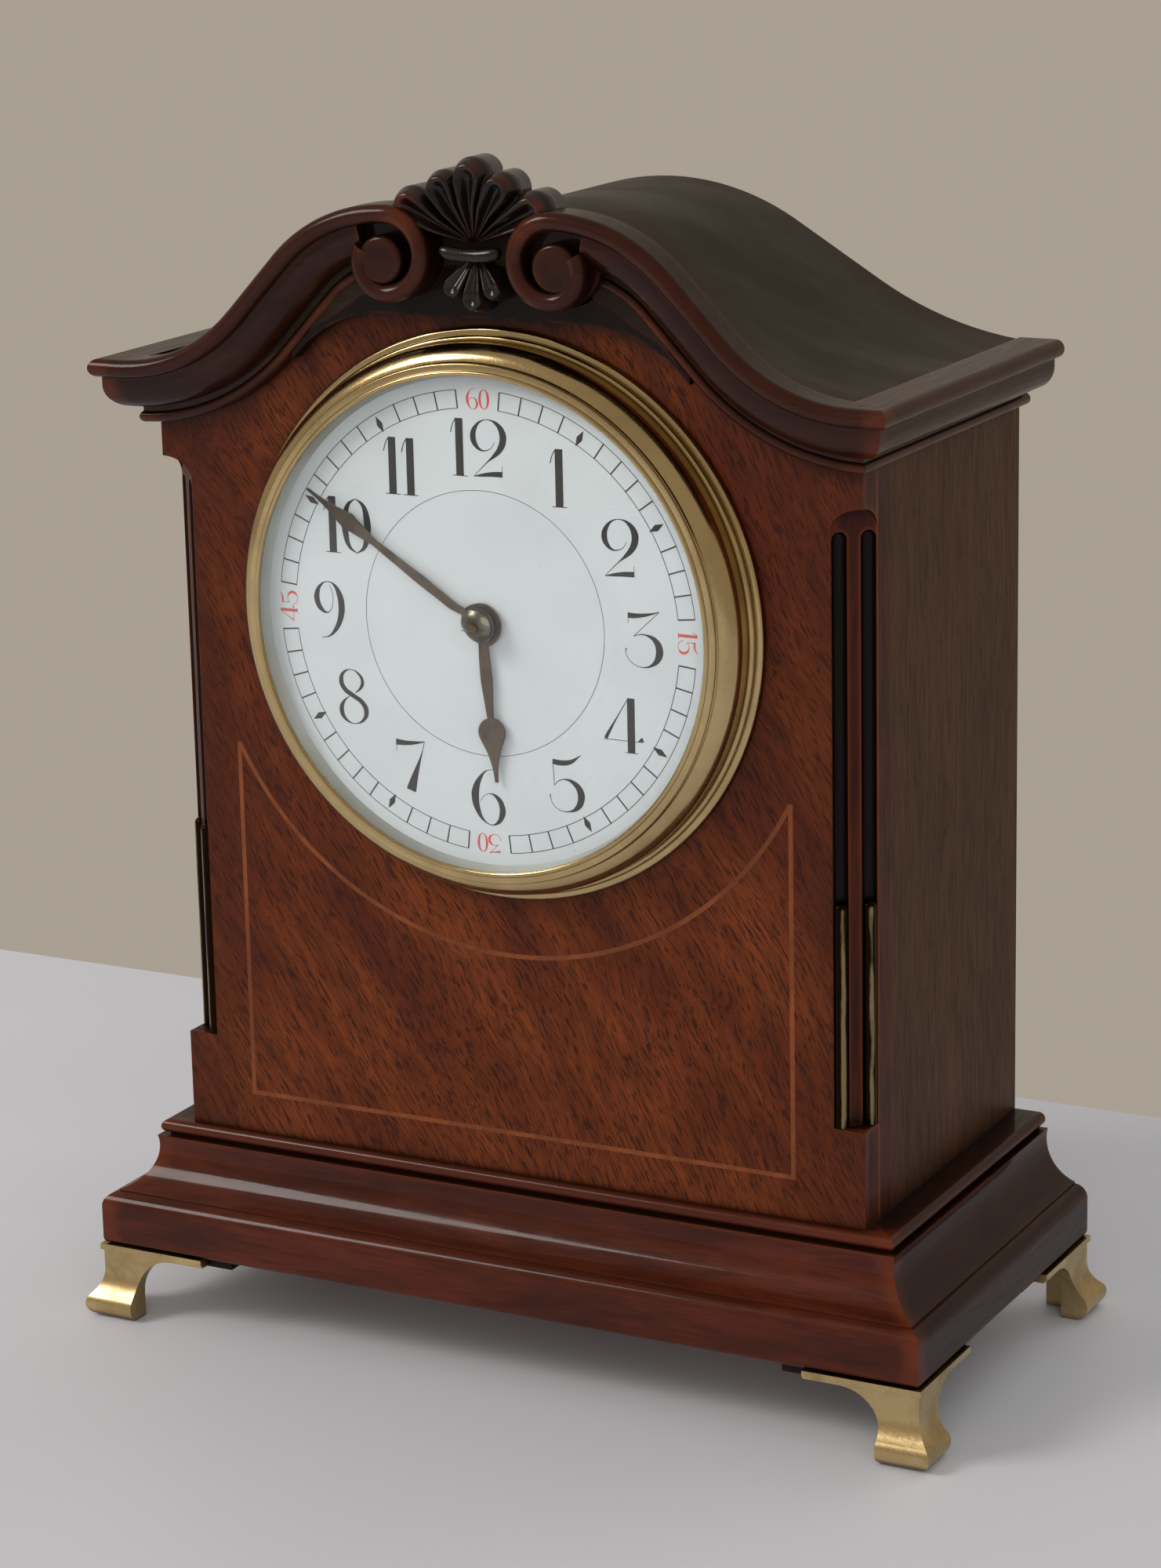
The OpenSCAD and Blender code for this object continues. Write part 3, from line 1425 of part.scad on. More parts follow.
// The wheel's tooth points at the centre, so this pinion is turned to suit the wheel's phase here
module set_arbor() {
    p = at_set;
    pitch_a = 360 / n_minute;
    off = ang(at_minute, at_set) - ang(at_minute, at_centre);
    shift = off - pitch_a * round(off / pitch_a);
    turn = gap_to(p, at_minute, n_cannon) + shift * n_minute / n_cannon;
    color("silver") axial() {
        drum_at(p, 1.2, set_end, h_minute + 1.8);
        drum_at(p, 2.2, bp_front + 0.3, bp_front + 2);
        translate([p[0], p[1], h_cannon]) {
            pinion(n_cannon, m_minute, cannon_l, turn);
        }
        translate([p[0], p[1], set_end]) rotate_extrude() {
            square([5.2, 3.4]);
            translate([5.2, 1.7]) circle(1.7);
            square([2.4, 6]);
        }
    }
}

front_panel();
front_veneer();
stringing_inlay();
side_panel_left();
side_panel_right();
corner_post_left();
corner_post_right();
corner_reeds();
base_block();
base_moulding_front();
base_moulding_left();
base_moulding_right();
foot_blocks();
bracket_feet();
wood_screws();
roof_board();
pediment_board();
cornice_front_left();
cornice_front_right();
cornice_side_left();
cornice_side_right();
shell_crest();
back_frame();
frame_hinge_leaves();
back_door();
door_hinge_leaves();
door_latch();
dial_drum();
bezel();
bezel_glass();
sight_ring();
dial();
front_plate();
back_plate();
plate_pillars();
plate_screws();
going_barrel();
mainspring();
barrel_arbor();
ratchet_wheel();
winding_key();
click();
click_spring();
intermediate_wheel();
centre_wheel();
third_wheel();
contrate_wheel();
escape_wheel();
pallet_lever();
balance_wheel();
hairspring();
platform();
balance_cock();
cannon_pinion();
minute_wheel();
hour_wheel();
minute_hand();
hour_hand();
hand_nut();
set_arbor();
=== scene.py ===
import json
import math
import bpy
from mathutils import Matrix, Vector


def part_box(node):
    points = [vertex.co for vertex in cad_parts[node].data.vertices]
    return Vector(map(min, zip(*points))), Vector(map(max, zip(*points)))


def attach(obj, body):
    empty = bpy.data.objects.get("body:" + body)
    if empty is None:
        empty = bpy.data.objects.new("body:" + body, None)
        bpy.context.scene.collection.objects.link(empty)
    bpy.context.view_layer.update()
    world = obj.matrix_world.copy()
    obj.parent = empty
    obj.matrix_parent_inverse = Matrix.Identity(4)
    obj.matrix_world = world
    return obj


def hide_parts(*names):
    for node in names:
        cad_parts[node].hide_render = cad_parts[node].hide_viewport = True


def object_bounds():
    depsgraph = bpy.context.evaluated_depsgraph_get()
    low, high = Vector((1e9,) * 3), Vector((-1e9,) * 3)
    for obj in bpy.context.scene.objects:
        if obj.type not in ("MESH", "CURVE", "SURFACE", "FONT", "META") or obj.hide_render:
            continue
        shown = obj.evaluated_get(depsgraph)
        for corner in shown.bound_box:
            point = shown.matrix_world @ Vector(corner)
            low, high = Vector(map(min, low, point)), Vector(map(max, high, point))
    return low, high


bl_info = {
    "name": "Mahogany Mantel Clock",
    "version": (1, 0, 0),
    "blender": (4, 5, 0),
    "location": "3D View > Sidebar > Clock",
    "description": "Dresses a mahogany mantel clock in wood, brass, enamel and dial printing",
    "category": "Add Mesh",
}

import bmesh
import bpy
from bpy.props import FloatProperty, FloatVectorProperty
from mathutils import Matrix, Vector

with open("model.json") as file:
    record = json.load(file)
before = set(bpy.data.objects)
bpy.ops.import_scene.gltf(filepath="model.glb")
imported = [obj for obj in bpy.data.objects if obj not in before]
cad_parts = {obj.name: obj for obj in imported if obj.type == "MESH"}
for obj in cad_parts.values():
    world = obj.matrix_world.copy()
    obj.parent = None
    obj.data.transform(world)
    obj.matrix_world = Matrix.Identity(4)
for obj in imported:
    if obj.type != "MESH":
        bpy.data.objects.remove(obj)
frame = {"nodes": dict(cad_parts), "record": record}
CAD_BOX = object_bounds()

MM = 0.001
WELD = 1e-7  # points nearer than this are merged, in metres

# Studio, in metres: how far the floor reaches behind the clock, half its width, and its gap under the feet.
FLOOR_BACK, FLOOR_HALF, FLOOR_GAP = 0.149, 2.0, 0.00005

# Case, in millimetres. A canted corner lies CANT_OUT from the middle of the case, measured square to its
# face, and its middle line lies CANT_MIDDLE along the face. CASE_FRONT is the front panel's face in Y.
CANT_OUT = 67.175
CANT_MIDDLE = 28.85
CASE_FRONT = -30.2

# Turned bezel, in millimetres. Radii count from the sight edge, heights from the front of the case.
SIGHT = 44.8
LIP_EDGE, GLASS_SEAT, BEZEL_BORE = 0.3, 1.95, 2.85
GLASS_LOW, GLASS_TOP = 8.1, 9.4
BEZEL_STEPS = 256
# An arc of its section: radius and height of its middle, its own radius, first and last angle, steps.
BEZEL_ARCS = (
    (7.0, 0.7, 0.7, -90, 90, 14),  # rolled edge
    (5.7, 1.7, 0.75, -23, 108, 12),  # bead
    (1.8, 4.9, 3.75, -14, 76, 30),  # swelled band
    (1.8, 8.4, 0.9, 18, 40, 4),  # quirk
    (2.25, 9.35, 0.25, 0, 90, 6),  # outer edge of the lip
    (0.8, 9.5, 0.5, 12, 180, 14),  # rolled lip round the glass
)

# Carved crest, in millimetres: heights of its three middles, then its lobes, each given by its angle in
# degrees, the length of its stem and the radius of its round end.
FAN_Z, TAIL_Z, ROLL_Z = 212.6, 211.0, 210.7
FAN = ((90, 11.65, 3.5), (59.4, 11.0, 3.3), (120.6, 11.0, 3.3), (27, 13.5, 3.6), (153, 13.5, 3.6))
TAIL = ((-90, 8.0, 2.6), (-57, 7.2, 2.4), (-123, 7.2, 2.4))
LOBE_COLUMNS, LOBE_ROWS = 26, 150  # steps of the carved front, outward and round
LOBE_START, FULL_RISE = 0.6, 7.0  # where the lobes begin and where they have their full rise
RIM_SHARE, BOWL_SHARE = 0.42, 0.58  # parts of a lobe's half width that are rim and hollow
BACK_STEP = 0.3  # least width of the flat back inside the outline
ROOF_MID, ROOF_RADIUS, ROOF_GAP = 165.6, 50.0, 0.01  # the roof's round top, which the crest stands on
ROLL_HALF, ROLL_WAIST, ROLL_SWELL = 6.2, 1.2, 0.45  # half length of the roll, its waist and its swelling

DRAWN_HEIGHT = 10.3  # height of the numerals as they are drawn, in millimetres
DIGIT_GAP = 0.55
DIAL_LOW, DIAL_HIGH = (Vector(corner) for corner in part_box("dial"))
DIAL_CENTRE = Vector(((DIAL_LOW.x + DIAL_HIGH.x) / 2, DIAL_LOW.y, (DIAL_LOW.z + DIAL_HIGH.z) / 2))
SLOT_OF = {part["node"]: part["material_slot"] for part in frame["record"]["subparts"]}

# The numerals, drawn with a brush: each stroke is a list of (x, y, half width) in millimetres.
# x runs right and y up from the middle of the numeral. A stroke that starts with "line" has straight runs.
STROKES = {
    "0": [
        [(0, 4.95, 0.07), (1.45, 3.9, 0.38), (2.2, 1.6, 0.66), (2.2, -1.6, 0.66), (1.45, -3.9, 0.38),
         (0, -4.95, 0.07)],
        [(0, -4.95, 0.07), (-1.45, -3.9, 0.34), (-2.2, -1.6, 0.6), (-2.2, 1.6, 0.6), (-1.45, 3.9, 0.34),
         (0, 4.95, 0.07)],
    ],
    "1": [
        ["line", (0.2, 5.1, 0.76), (0.2, -5.15, 0.76)],
        [(-0.4, 5.05, 0.1), (-1.0, 4.1, 0.09), (-1.5, 2.5, 0.1)],
        ["line", (-1.3, -5.1, 0.07), (1.7, -5.1, 0.07)],
    ],
    "2": [
        [(1.3, 1.25, 0.05), (0.8, 0.3, 0.06), (0, -0.2, 0.08), (-1.2, -0.35, 0.16), (-2.4, 0.5, 0.42),
         (-2.95, 2.1, 0.56), (-2.3, 3.9, 0.34), (-1.1, 4.9, 0.12), (0.4, 5.1, 0.09), (1.8, 4.5, 0.34),
         (2.85, 3.1, 0.62), (3.0, 1.6, 0.66), (2.4, 0.1, 0.56), (1.2, -1.2, 0.34), (0, -2.2, 0.12),
         (-1.5, -3.6, 0.07), (-2.9, -5.0, 0.06)],
        [(-2.9, -5.02, 0.06), (-1.5, -4.78, 0.26), (0.6, -4.5, 0.42), (2.75, -4.4, 0.5)],
        ["line", (2.72, -2.95, 0.05), (2.72, -4.8, 0.05)],
    ],
    "3": [
        [(-3.2, 4.1, 0.5), (-1.6, 4.12, 0.42), (0.8, 4.5, 0.24), (2.9, 5.1, 0.06)],
        ["line", (-3.15, 3.8, 0.05), (-3.15, 2.8, 0.05)],
        ["line", (2.9, 5.1, 0.06), (-2.1, 0.45, 0.06)],
        [(-2.1, 0.45, 0.06), (-0.9, 0.82, 0.08), (0.6, 0.75, 0.2), (2.1, -0.05, 0.5), (2.85, -1.6, 0.7),
         (2.5, -3.3, 0.58), (1.3, -4.5, 0.26), (-0.4, -4.98, 0.08), (-2.2, -4.5, 0.06), (-3.35, -3.4, 0.06),
         (-3.7, -2.3, 0.07), (-3.55, -1.8, 0.15)],
    ],
    "4": [
        ["line", (1.5, 5.0, 0.74), (1.5, -4.85, 0.74)],
        [(0.9, 4.85, 0.07), (-1.4, 1.1, 0.12), (-2.6, -0.9, 0.26), (-3.55, -2.6, 0.34)],
        ["line", (-3.95, -2.72, 0.06), (3.85, -2.72, 0.06)],
        ["line", (2.85, -2.6, 0.04), (3.8, -2.2, 0.46)],
        ["line", (0.2, -4.85, 0.06), (2.8, -4.85, 0.06)],
    ],
    "5": [
        [(-2.8, 3.65, 0.46), (-1.2, 3.5, 0.5), (0.8, 3.85, 0.4), (2.0, 4.6, 0.2), (2.9, 5.3, 0.05)],
        ["line", (-2.75, 4.05, 0.06), (-2.5, -0.7, 0.06)],
        [(-2.5, -0.7, 0.05), (-1.6, 0.2, 0.07), (-0.3, 0.55, 0.12), (1.3, 0.1, 0.4), (2.6, -1.3, 0.65),
         (2.75, -3.0, 0.66), (1.9, -4.5, 0.45), (0.6, -5.2, 0.15), (-0.9, -5.3, 0.07), (-2.6, -4.5, 0.06),
         (-3.3, -3.2, 0.06), (-3.4, -2.4, 0.12)],
    ],
    "6": [
        [(1.3, 5.1, 0.06), (-0.3, 4.7, 0.1), (-1.5, 3.4, 0.36), (-2.5, 1.2, 0.7), (-2.65, -0.6, 0.74),
         (-2.2, -2.6, 0.54), (-1.2, -4.3, 0.24), (0.4, -5.2, 0.08), (1.8, -4.7, 0.3), (2.75, -3.1, 0.58),
         (2.75, -1.6, 0.56), (1.9, -0.1, 0.38), (0.5, 0.55, 0.09), (-0.8, 0.1, 0.05), (-1.6, -1.0, 0.05)],
    ],
    "7": [
        [(-2.95, 4.05, 0.55), (-1.0, 4.0, 0.45), (1.0, 4.2, 0.3), (3.0, 4.55, 0.08)],
        ["line", (-2.85, 3.6, 0.05), (-2.85, 2.3, 0.05)],
        [(2.9, 4.4, 0.06), (2.4, 2.6, 0.1), (1.6, 0.3, 0.32), (0.7, -2.2, 0.66), (-0.1, -4.75, 0.98)],
    ],
    "8": [
        [(0.4, 0.75, 0.06), (1.6, 1.8, 0.28), (1.98, 3.0, 0.33), (1.15, 4.4, 0.2), (-0.35, 5.0, 0.07),
         (-1.85, 4.4, 0.26), (-2.45, 3.0, 0.45), (-1.85, 1.4, 0.46), (0.0, 0.2, 0.44), (1.8, -0.9, 0.46),
         (2.6, -2.4, 0.5), (2.0, -4.1, 0.3), (0.1, -4.95, 0.07), (-1.85, -4.2, 0.3), (-2.55, -2.6, 0.47),
         (-2.15, -1.2, 0.3), (-1.0, -0.1, 0.08), (-0.3, 0.25, 0.06)],
    ],
    "9": [
        [(0.2, 4.5, 0.05), (0.8, 3.2, 0.06), (0.85, 1.7, 0.06), (0.5, 0.2, 0.07), (-0.4, -0.55, 0.13),
         (-1.6, 0.0, 0.42), (-2.4, 1.4, 0.55), (-2.4, 2.9, 0.5), (-1.5, 4.5, 0.22), (0.0, 5.15, 0.07),
         (1.2, 4.6, 0.26), (2.2, 3.0, 0.56), (2.6, 0.9, 0.66), (2.3, -1.4, 0.56), (1.2, -3.6, 0.38),
         (-0.2, -4.9, 0.14), (-1.7, -5.3, 0.05)],
    ],
}
ADVANCE = {"0": 5.6, "1": 3.1, "2": 7.2, "3": 7.2, "4": 7.9, "5": 7.0, "6": 6.6, "7": 6.3, "8": 6.2, "9": 6.2}
MIDDLE = {"1": 0.2, "4": -0.1, "9": 0.2, "3": -0.3, "5": -0.2}


def mark(x, y, z=0.0):
    """A point on the dial's face, in millimetres right of, above and in front of its middle."""
    return DIAL_CENTRE + Vector((x, -z, y)) * MM


def settings():
    """The clock's settings in this scene."""
    return bpy.context.scene.clock_dial, bpy.context.scene.clock_finish, bpy.context.scene.clock_stage


def shown(name, mesh, body, material, smooth=True):
    """Puts a mesh in the scene as a piece that rides on a body of the clock."""
    piece = bpy.data.objects.new(name, mesh)
    bpy.context.scene.collection.objects.link(piece)
    mesh.materials.clear()
    mesh.materials.append(material)
    for face in mesh.polygons:
        face.use_smooth = smooth
    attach(piece, body)
    return piece


def from_bmesh(name, shape):
    """A mesh made from a bmesh, which is then set free."""
    bmesh.ops.remove_doubles(shape, verts=shape.verts, dist=WELD)
    bmesh.ops.recalc_face_normals(shape, faces=shape.faces)
    mesh = bpy.data.meshes.new(name)
    shape.to_mesh(mesh)
    shape.free()
    return mesh


def closed_loop(shape, points):
    """Vertices joined in a ring by edges: a section to be spun."""
    verts = [shape.verts.new(point) for point in points]
    return verts + [shape.edges.new(pair) for pair in zip(verts, verts[1:] + verts[:1])]


def on_dial(verts, height):
    """Lays printing, drawn in x and y in millimetres, on the dial. What isn't below z = 0 is its top."""
    for vert in verts:
        lift = height if vert.co.z > -1e-6 else -height
        vert.co = mark(vert.co.x, vert.co.y, lift)


class Wiring:
    """A node tree under construction, with short ways to add and join its nodes."""

    def __init__(self, tree):
        self.tree = tree

    def node(self, kind, inputs=None, **values):
        """A new node, with its settings and what its inputs are fed."""
        made = self.tree.nodes.new(kind)
        for key, value in values.items():
            setattr(made, key, value)
        for key, value in (inputs or {}).items():
            self.feed(made.inputs[key], value)
        return made

    def feed(self, socket, value):
        """Joins a socket to another one, or sets it to a value."""
        if isinstance(value, bpy.types.NodeSocket):
            self.tree.links.new(value, socket)
        else:
            socket.default_value = value

    def sum(self, operation, first, second=0.0):
        """Arithmetic on one or two values."""
        return self.node("ShaderNodeMath", {0: first, 1: second}, operation=operation).outputs[0]

    def vectors(self, operation, inputs, out="Vector"):
        """Arithmetic on vectors."""
        return self.node("ShaderNodeVectorMath", inputs, operation=operation).outputs[out]


class Finish(Wiring):
    """A material under construction, with the patterns and masks that its colours are mixed by."""

    def __init__(self, name, metal=0.0, rough=0.4, coat=0.0, coat_rough=0.08, ior=1.5, shine=0.5):
        self.material = bpy.data.materials.new(name)
        self.material.use_nodes = True
        super().__init__(self.material.node_tree)
        self.skin = self.tree.nodes["Principled BSDF"]
        for key, value in (("Metallic", metal), ("Roughness", rough), ("IOR", ior),
                           ("Specular IOR Level", shine), ("Coat Weight", coat),
                           ("Coat Roughness", coat_rough)):
            self.skin.inputs[key].default_value = value
        self.place = self.node("ShaderNodeTexCoord").outputs["Object"]

    def axes(self):
        """The object coordinates one by one."""
        return self.node("ShaderNodeSeparateXYZ", {0: self.place}).outputs

    def mapped(self, stretch=(1, 1, 1), turn=(0, 0, 0), shift=(0, 0, 0), source=None):
        """Coordinates that are stretched, turned by degrees and shifted."""
        return self.node("ShaderNodeMapping", {
            "Vector": source or self.place, "Location": shift, "Scale": stretch,
            "Rotation": [math.radians(angle) for angle in turn]}, vector_type="TEXTURE").outputs["Vector"]

    def noise(self, vector, scale, detail, rough, twist=0.0):
        """A cloudy pattern with values about 0.5."""
        return self.node("ShaderNodeTexNoise", {
            "Vector": vector, "Scale": scale, "Detail": detail, "Roughness": rough,
            "Distortion": twist}).outputs["Fac"]

    def drift(self, vector, scale, amount):
        """The vector, pushed about by a slow noise, so that grain wanders."""
        cloud = self.node("ShaderNodeTexNoise", {"Vector": vector, "Scale": scale, "Detail": 1.0})
        centred = self.vectors("SUBTRACT", {0: cloud.outputs["Color"], 1: (0.5, 0.5, 0.5)})
        pushed = self.vectors("SCALE", {0: centred, "Scale": amount})
        return self.vectors("ADD", {0: vector, 1: pushed})

    def span(self, value, low, high, out_low=0.0, out_high=1.0):
        """A value from low to high, spread smoothly from out_low to out_high."""
        return self.node("ShaderNodeMapRange", {
            "Value": value, "From Min": low, "From Max": high, "To Min": out_low,
            "To Max": out_high}, interpolation_type="SMOOTHSTEP").outputs["Result"]

    def blend(self, share, first, second):
        """The first colour where the share is 0 and the second where it is 1."""
        made = self.node("ShaderNodeMix", {0: share}, data_type="RGBA")
        for name, value in (("A", first), ("B", second)):
            socket = next(s for s in made.inputs if s.name == name and s.type == "RGBA")
            is_socket = isinstance(value, bpy.types.NodeSocket)
            self.feed(socket, value if is_socket else (*tuple(value)[:3], 1.0))
        return next(out for out in made.outputs if out.type == "RGBA")

    def tint(self, body, colour, figure, low, high, most=1.0):
        """The body with a colour over it, from nothing where a figure is low to most where it is high."""
        return self.blend(self.span(figure, low, high, 0.0, most), body, colour)

    def cover(self, body, colour, mask, most):
        """The body with a colour over it where a mask is 1."""
        return self.blend(self.sum("MULTIPLY", mask, most), body, colour)

    def corners(self, radius, low=0.02, high=0.35):
        """How worn an edge may be: 1 on a sharp edge and 0 on a flat face."""
        soft = self.node("ShaderNodeBevel", {"Radius": radius}, samples=4)
        true = self.node("ShaderNodeNewGeometry").outputs["Normal"]
        alike = self.vectors("DOT_PRODUCT", {0: soft.outputs["Normal"], 1: true}, "Value")
        return self.span(self.sum("SUBTRACT", 1.0, alike), low, high)

    def shade(self, distance, low, high, inside):
        """1 where most rays of a length meet the surface, and 0 where they run free."""
        made = self.node("ShaderNodeAmbientOcclusion", {"Distance": distance}, samples=6, inside=inside)
        return self.span(made.outputs["AO"], low, high, 1.0, 0.0)

    def hollows(self, distance, low=0.35, high=0.95):
        """1 in a closed corner and 0 in the open."""
        return self.shade(distance, low, high, False)

    def ridges(self, distance, low, high):
        """1 where the wood is thin or rounded outward, and 0 on a flat face."""
        return self.shade(distance, low, high, True)

    def bumps(self, height, depth, strength, under=None):
        """A normal tilted by a height, on top of another one if that is given."""
        made = self.node("ShaderNodeBump", {"Strength": strength, "Distance": depth, "Height": height})
        if under is not None:
            self.feed(made.inputs["Normal"], under)
        return made.outputs["Normal"]

    def done(self, colour=None, rough=None, normal=None, coat_normal=None):
        """The material, with its colour, roughness and normals joined up."""
        for key, value in (("Base Color", colour), ("Roughness", rough), ("Normal", normal),
                           ("Coat Normal", coat_normal)):
            if value is not None:
                self.feed(self.skin.inputs[key], value)
        return self.material


def size_setting(name, description, default, low, high):
    """A length that a user may change."""
    return FloatProperty(name=name, description=description + ", in millimetres", default=default,
                         min=low, max=high)


def tone_setting(name, description, default):
    """A colour that a user may change."""
    return FloatVectorProperty(name=name, description=description, default=default, subtype="COLOR",
                               min=0.0, max=1.0)


class ClockDialSettings(bpy.types.PropertyGroup):
    """Sizes of the printing on the dial."""

    numeral_radius: size_setting(
        "Hour circle", "Radius of the circle that the hour numerals stand on", 31.8, 28.0, 34.0)
    numeral_height: size_setting("Hour numeral", "Height of an hour numeral", 10.4, 8.0, 11.5)
    track_inner: size_setting("Track inside", "Radius of the minute track's inner line", 38.9, 37.0, 40.0)
    track_outer: size_setting("Track outside", "Radius of the minute track's outer line", 42.2, 41.0, 44.0)
    centre_ring: size_setting("Centre ring", "Radius of the thin ring round the hands", 24.2, 20.0, 26.0)
    line_width: size_setting("Line", "Width of the thin printed lines", 0.13, 0.08, 0.3)
    quarter_height: size_setting("Quarter numeral", "Height of a red quarter numeral", 3.7, 2.5, 4.5)
    print_height: size_setting("Print", "Thickness of the fired print", 0.02, 0.01, 0.1)


class ClockFinishSettings(bpy.types.PropertyGroup):
    """Colours of the woods, the metals and the dial."""

    veneer: tone_setting("Veneer", "Middle colour of the flamed front veneer", (0.125, 0.0215, 0.0040))
    veneer_light: tone_setting("Veneer light", "Light figure of the front veneer", (0.205, 0.0430, 0.0070))
    veneer_dark: tone_setting(
        "Veneer dark", "Dark figure and pores of the front veneer", (0.040, 0.0070, 0.0018))
    panel: tone_setting("Side panel", "Colour of the plain mahogany sides", (0.070, 0.0255, 0.0085))
    moulding: tone_setting("Moulding", "Colour of the dark mouldings", (0.022, 0.0038, 0.0013))
    ebony: tone_setting("Ebonised", "Colour of the black stained wood", (0.0060, 0.0032, 0.0022))
    stringing: tone_setting("Stringing", "Colour of the inlaid line", (0.25, 0.065, 0.014))
    carcase: tone_setting(
        "Carcase", "Colour of the unpolished wood behind and inside", (0.150, 0.066, 0.030))
    brass: tone_setting("Brass", "Colour of the polished brass", (0.56, 0.42, 0.21))
    tarnish: tone_setting("Tarnish", "Colour of the brass where it has darkened", (0.20, 0.125, 0.050))
    enamel: tone_setting("Enamel", "Colour of the enamel dial", (0.655, 0.705, 0.745))
    ink: tone_setting("Black print", "Colour of the black print", (0.007, 0.0065, 0.007))
    red: tone_setting("Red print", "Colour of the quarter numerals", (0.62, 0.075, 0.045))


class ClockStageSettings(bpy.types.PropertyGroup):
    """Floor, light and lens of the studio."""

    floor: tone_setting("Floor", "Colour of the plain floor", (0.80, 0.785, 0.81))
    backdrop: tone_setting(
        "Backdrop", "Colour that the camera sees behind the clock", (0.395, 0.350, 0.290))
    key: FloatProperty(
        name="Key", description="Strength of the large lamp at the left", default=9.0, min=0.0, unit="POWER")
    fill: FloatProperty(
        name="Fill", description="Strength of the large lamp in front", default=5.0, min=0.0, unit="POWER")
    rim: FloatProperty(
        name="Rim", description="Strength of the lamp behind the roof", default=1.5, min=0.0, unit="POWER")
    lens: FloatProperty(
        name="Lens", description="Focal length of the camera, in millimetres on a 36 mm frame",
        default=95.265, min=20.0, max=300.0)


# Woods

def wood_figure(finish, along, turn, wander):
    """Patterns of flame, stripe, fibre and pores. The grain runs along Z until it is turned."""
    drifted = finish.drift(finish.place, 16.0, wander)
    drifted = finish.drift(drifted, 90.0, wander * 0.12)

    def figure(stretch, scale, detail, rough, twist=0.0, shift=(0, 0, 0)):
        return finish.noise(finish.mapped((1, 1, stretch), turn, shift, drifted), scale, detail, rough, twist)

    return (figure(2.6, 55.0, 3.0, 0.6),
            figure(5.0, 210.0, 3.0, 0.6, 0.4),
            figure(along, 1500.0, 3.0, 0.65),
            figure(along * 0.5, 2600.0, 2.0, 0.55, shift=(0.013, 0.007, 0.003)))


def varnished(finish, body, pores, figure, rough, coat=(0.08, 0.2)):
    """The wood under rubbed varnish: a clear coat with smears, and pores that sink a little.

    rough and coat are the least and the greatest roughness of the wood and of the coat.
    """
    smear = finish.noise(finish.mapped((1, 1, 1.6), (10, 0, 15)), 70.0, 4.0, 0.6)
    finish.feed(finish.skin.inputs["Coat Roughness"], finish.span(smear, 0.3, 0.75, *coat))
    ripple = finish.bumps(finish.noise(finish.place, 260.0, 2.0, 0.5), 0.00004, 0.35)
    sunk = finish.bumps(pores, 0.00006, 0.35)
    return finish.done(body, finish.span(figure, 0.3, 0.7, *rough), sunk, ripple)


def flamed_veneer(colours):
    """Front veneer: diagonal flame with dark pores, darker towards the sides of the case, with painted shade
    in its corners.
    """
    finish = Finish("flamed_veneer", rough=0.42, coat=0.14, shine=0.1)
    broad, stripe, fibre, pore = wood_figure(finish, 17.0, (0, -30, 0), 0.013)
    body = finish.tint(colours.veneer, colours.veneer_light, broad, 0.36, 0.66)
    body = finish.tint(body, colours.veneer_dark, stripe, 0.42, 0.72, 0.5)
    body = finish.tint(body, colours.veneer_dark, fibre, 0.35, 0.75, 0.55)
    flecks = finish.span(pore, 0.52, 0.63)
    body = finish.cover(body, colours.veneer_dark * 0.5, flecks, 0.74)
    side = finish.sum("ABSOLUTE", finish.axes()["X"])
    body = finish.tint(body, colours.veneer_dark, side, 0.046, 0.071, 0.5)
    # Painted shade: near black laid where ambient occlusion finds a closed corner.
    body = finish.cover(body, (0.007, 0.0022, 0.0010), finish.hollows(0.007, 0.3, 0.95), 0.85)
    return varnished(finish, body, flecks, fibre, (0.36, 0.5))


def plain_panel(colours):
    """Sides: straight brown mahogany with short pores, and painted shade in the corners."""
    finish = Finish("plain_mahogany", rough=0.48, coat=0.06, shine=0.12)
    broad, stripe, fibre, pore = wood_figure(finish, 16.0, (0, 0, 0), 0.004)
    deep = colours.panel * 0.42
    body = finish.tint(colours.panel, Vector(colours.panel) * 1.25, broad, 0.35, 0.68)
    body = finish.tint(body, deep, stripe, 0.42, 0.74, 0.5)
    body = finish.tint(body, deep, fibre, 0.38, 0.74, 0.5)
    flecks = finish.span(pore, 0.57, 0.67)
    body = finish.cover(body, deep * 0.5, flecks, 0.7)
    # Painted shade: near black laid where ambient occlusion finds a closed corner.
    body = finish.cover(body, (0.008, 0.004, 0.003), finish.hollows(0.004), 0.8)
    return varnished(finish, body, flecks, fibre, (0.4, 0.55), (0.14, 0.3))


def on_cant(finish, operation, start):
    """Millimetres from a start, square to a canted face with SUBTRACT and along it with ADD."""
    axes = finish.axes()
    both = finish.sum(operation, finish.sum("ABSOLUTE", axes["X"]), axes["Y"])
    return finish.sum("SUBTRACT", finish.sum("MULTIPLY", both, 1 / (math.sqrt(2) * MM)), start)


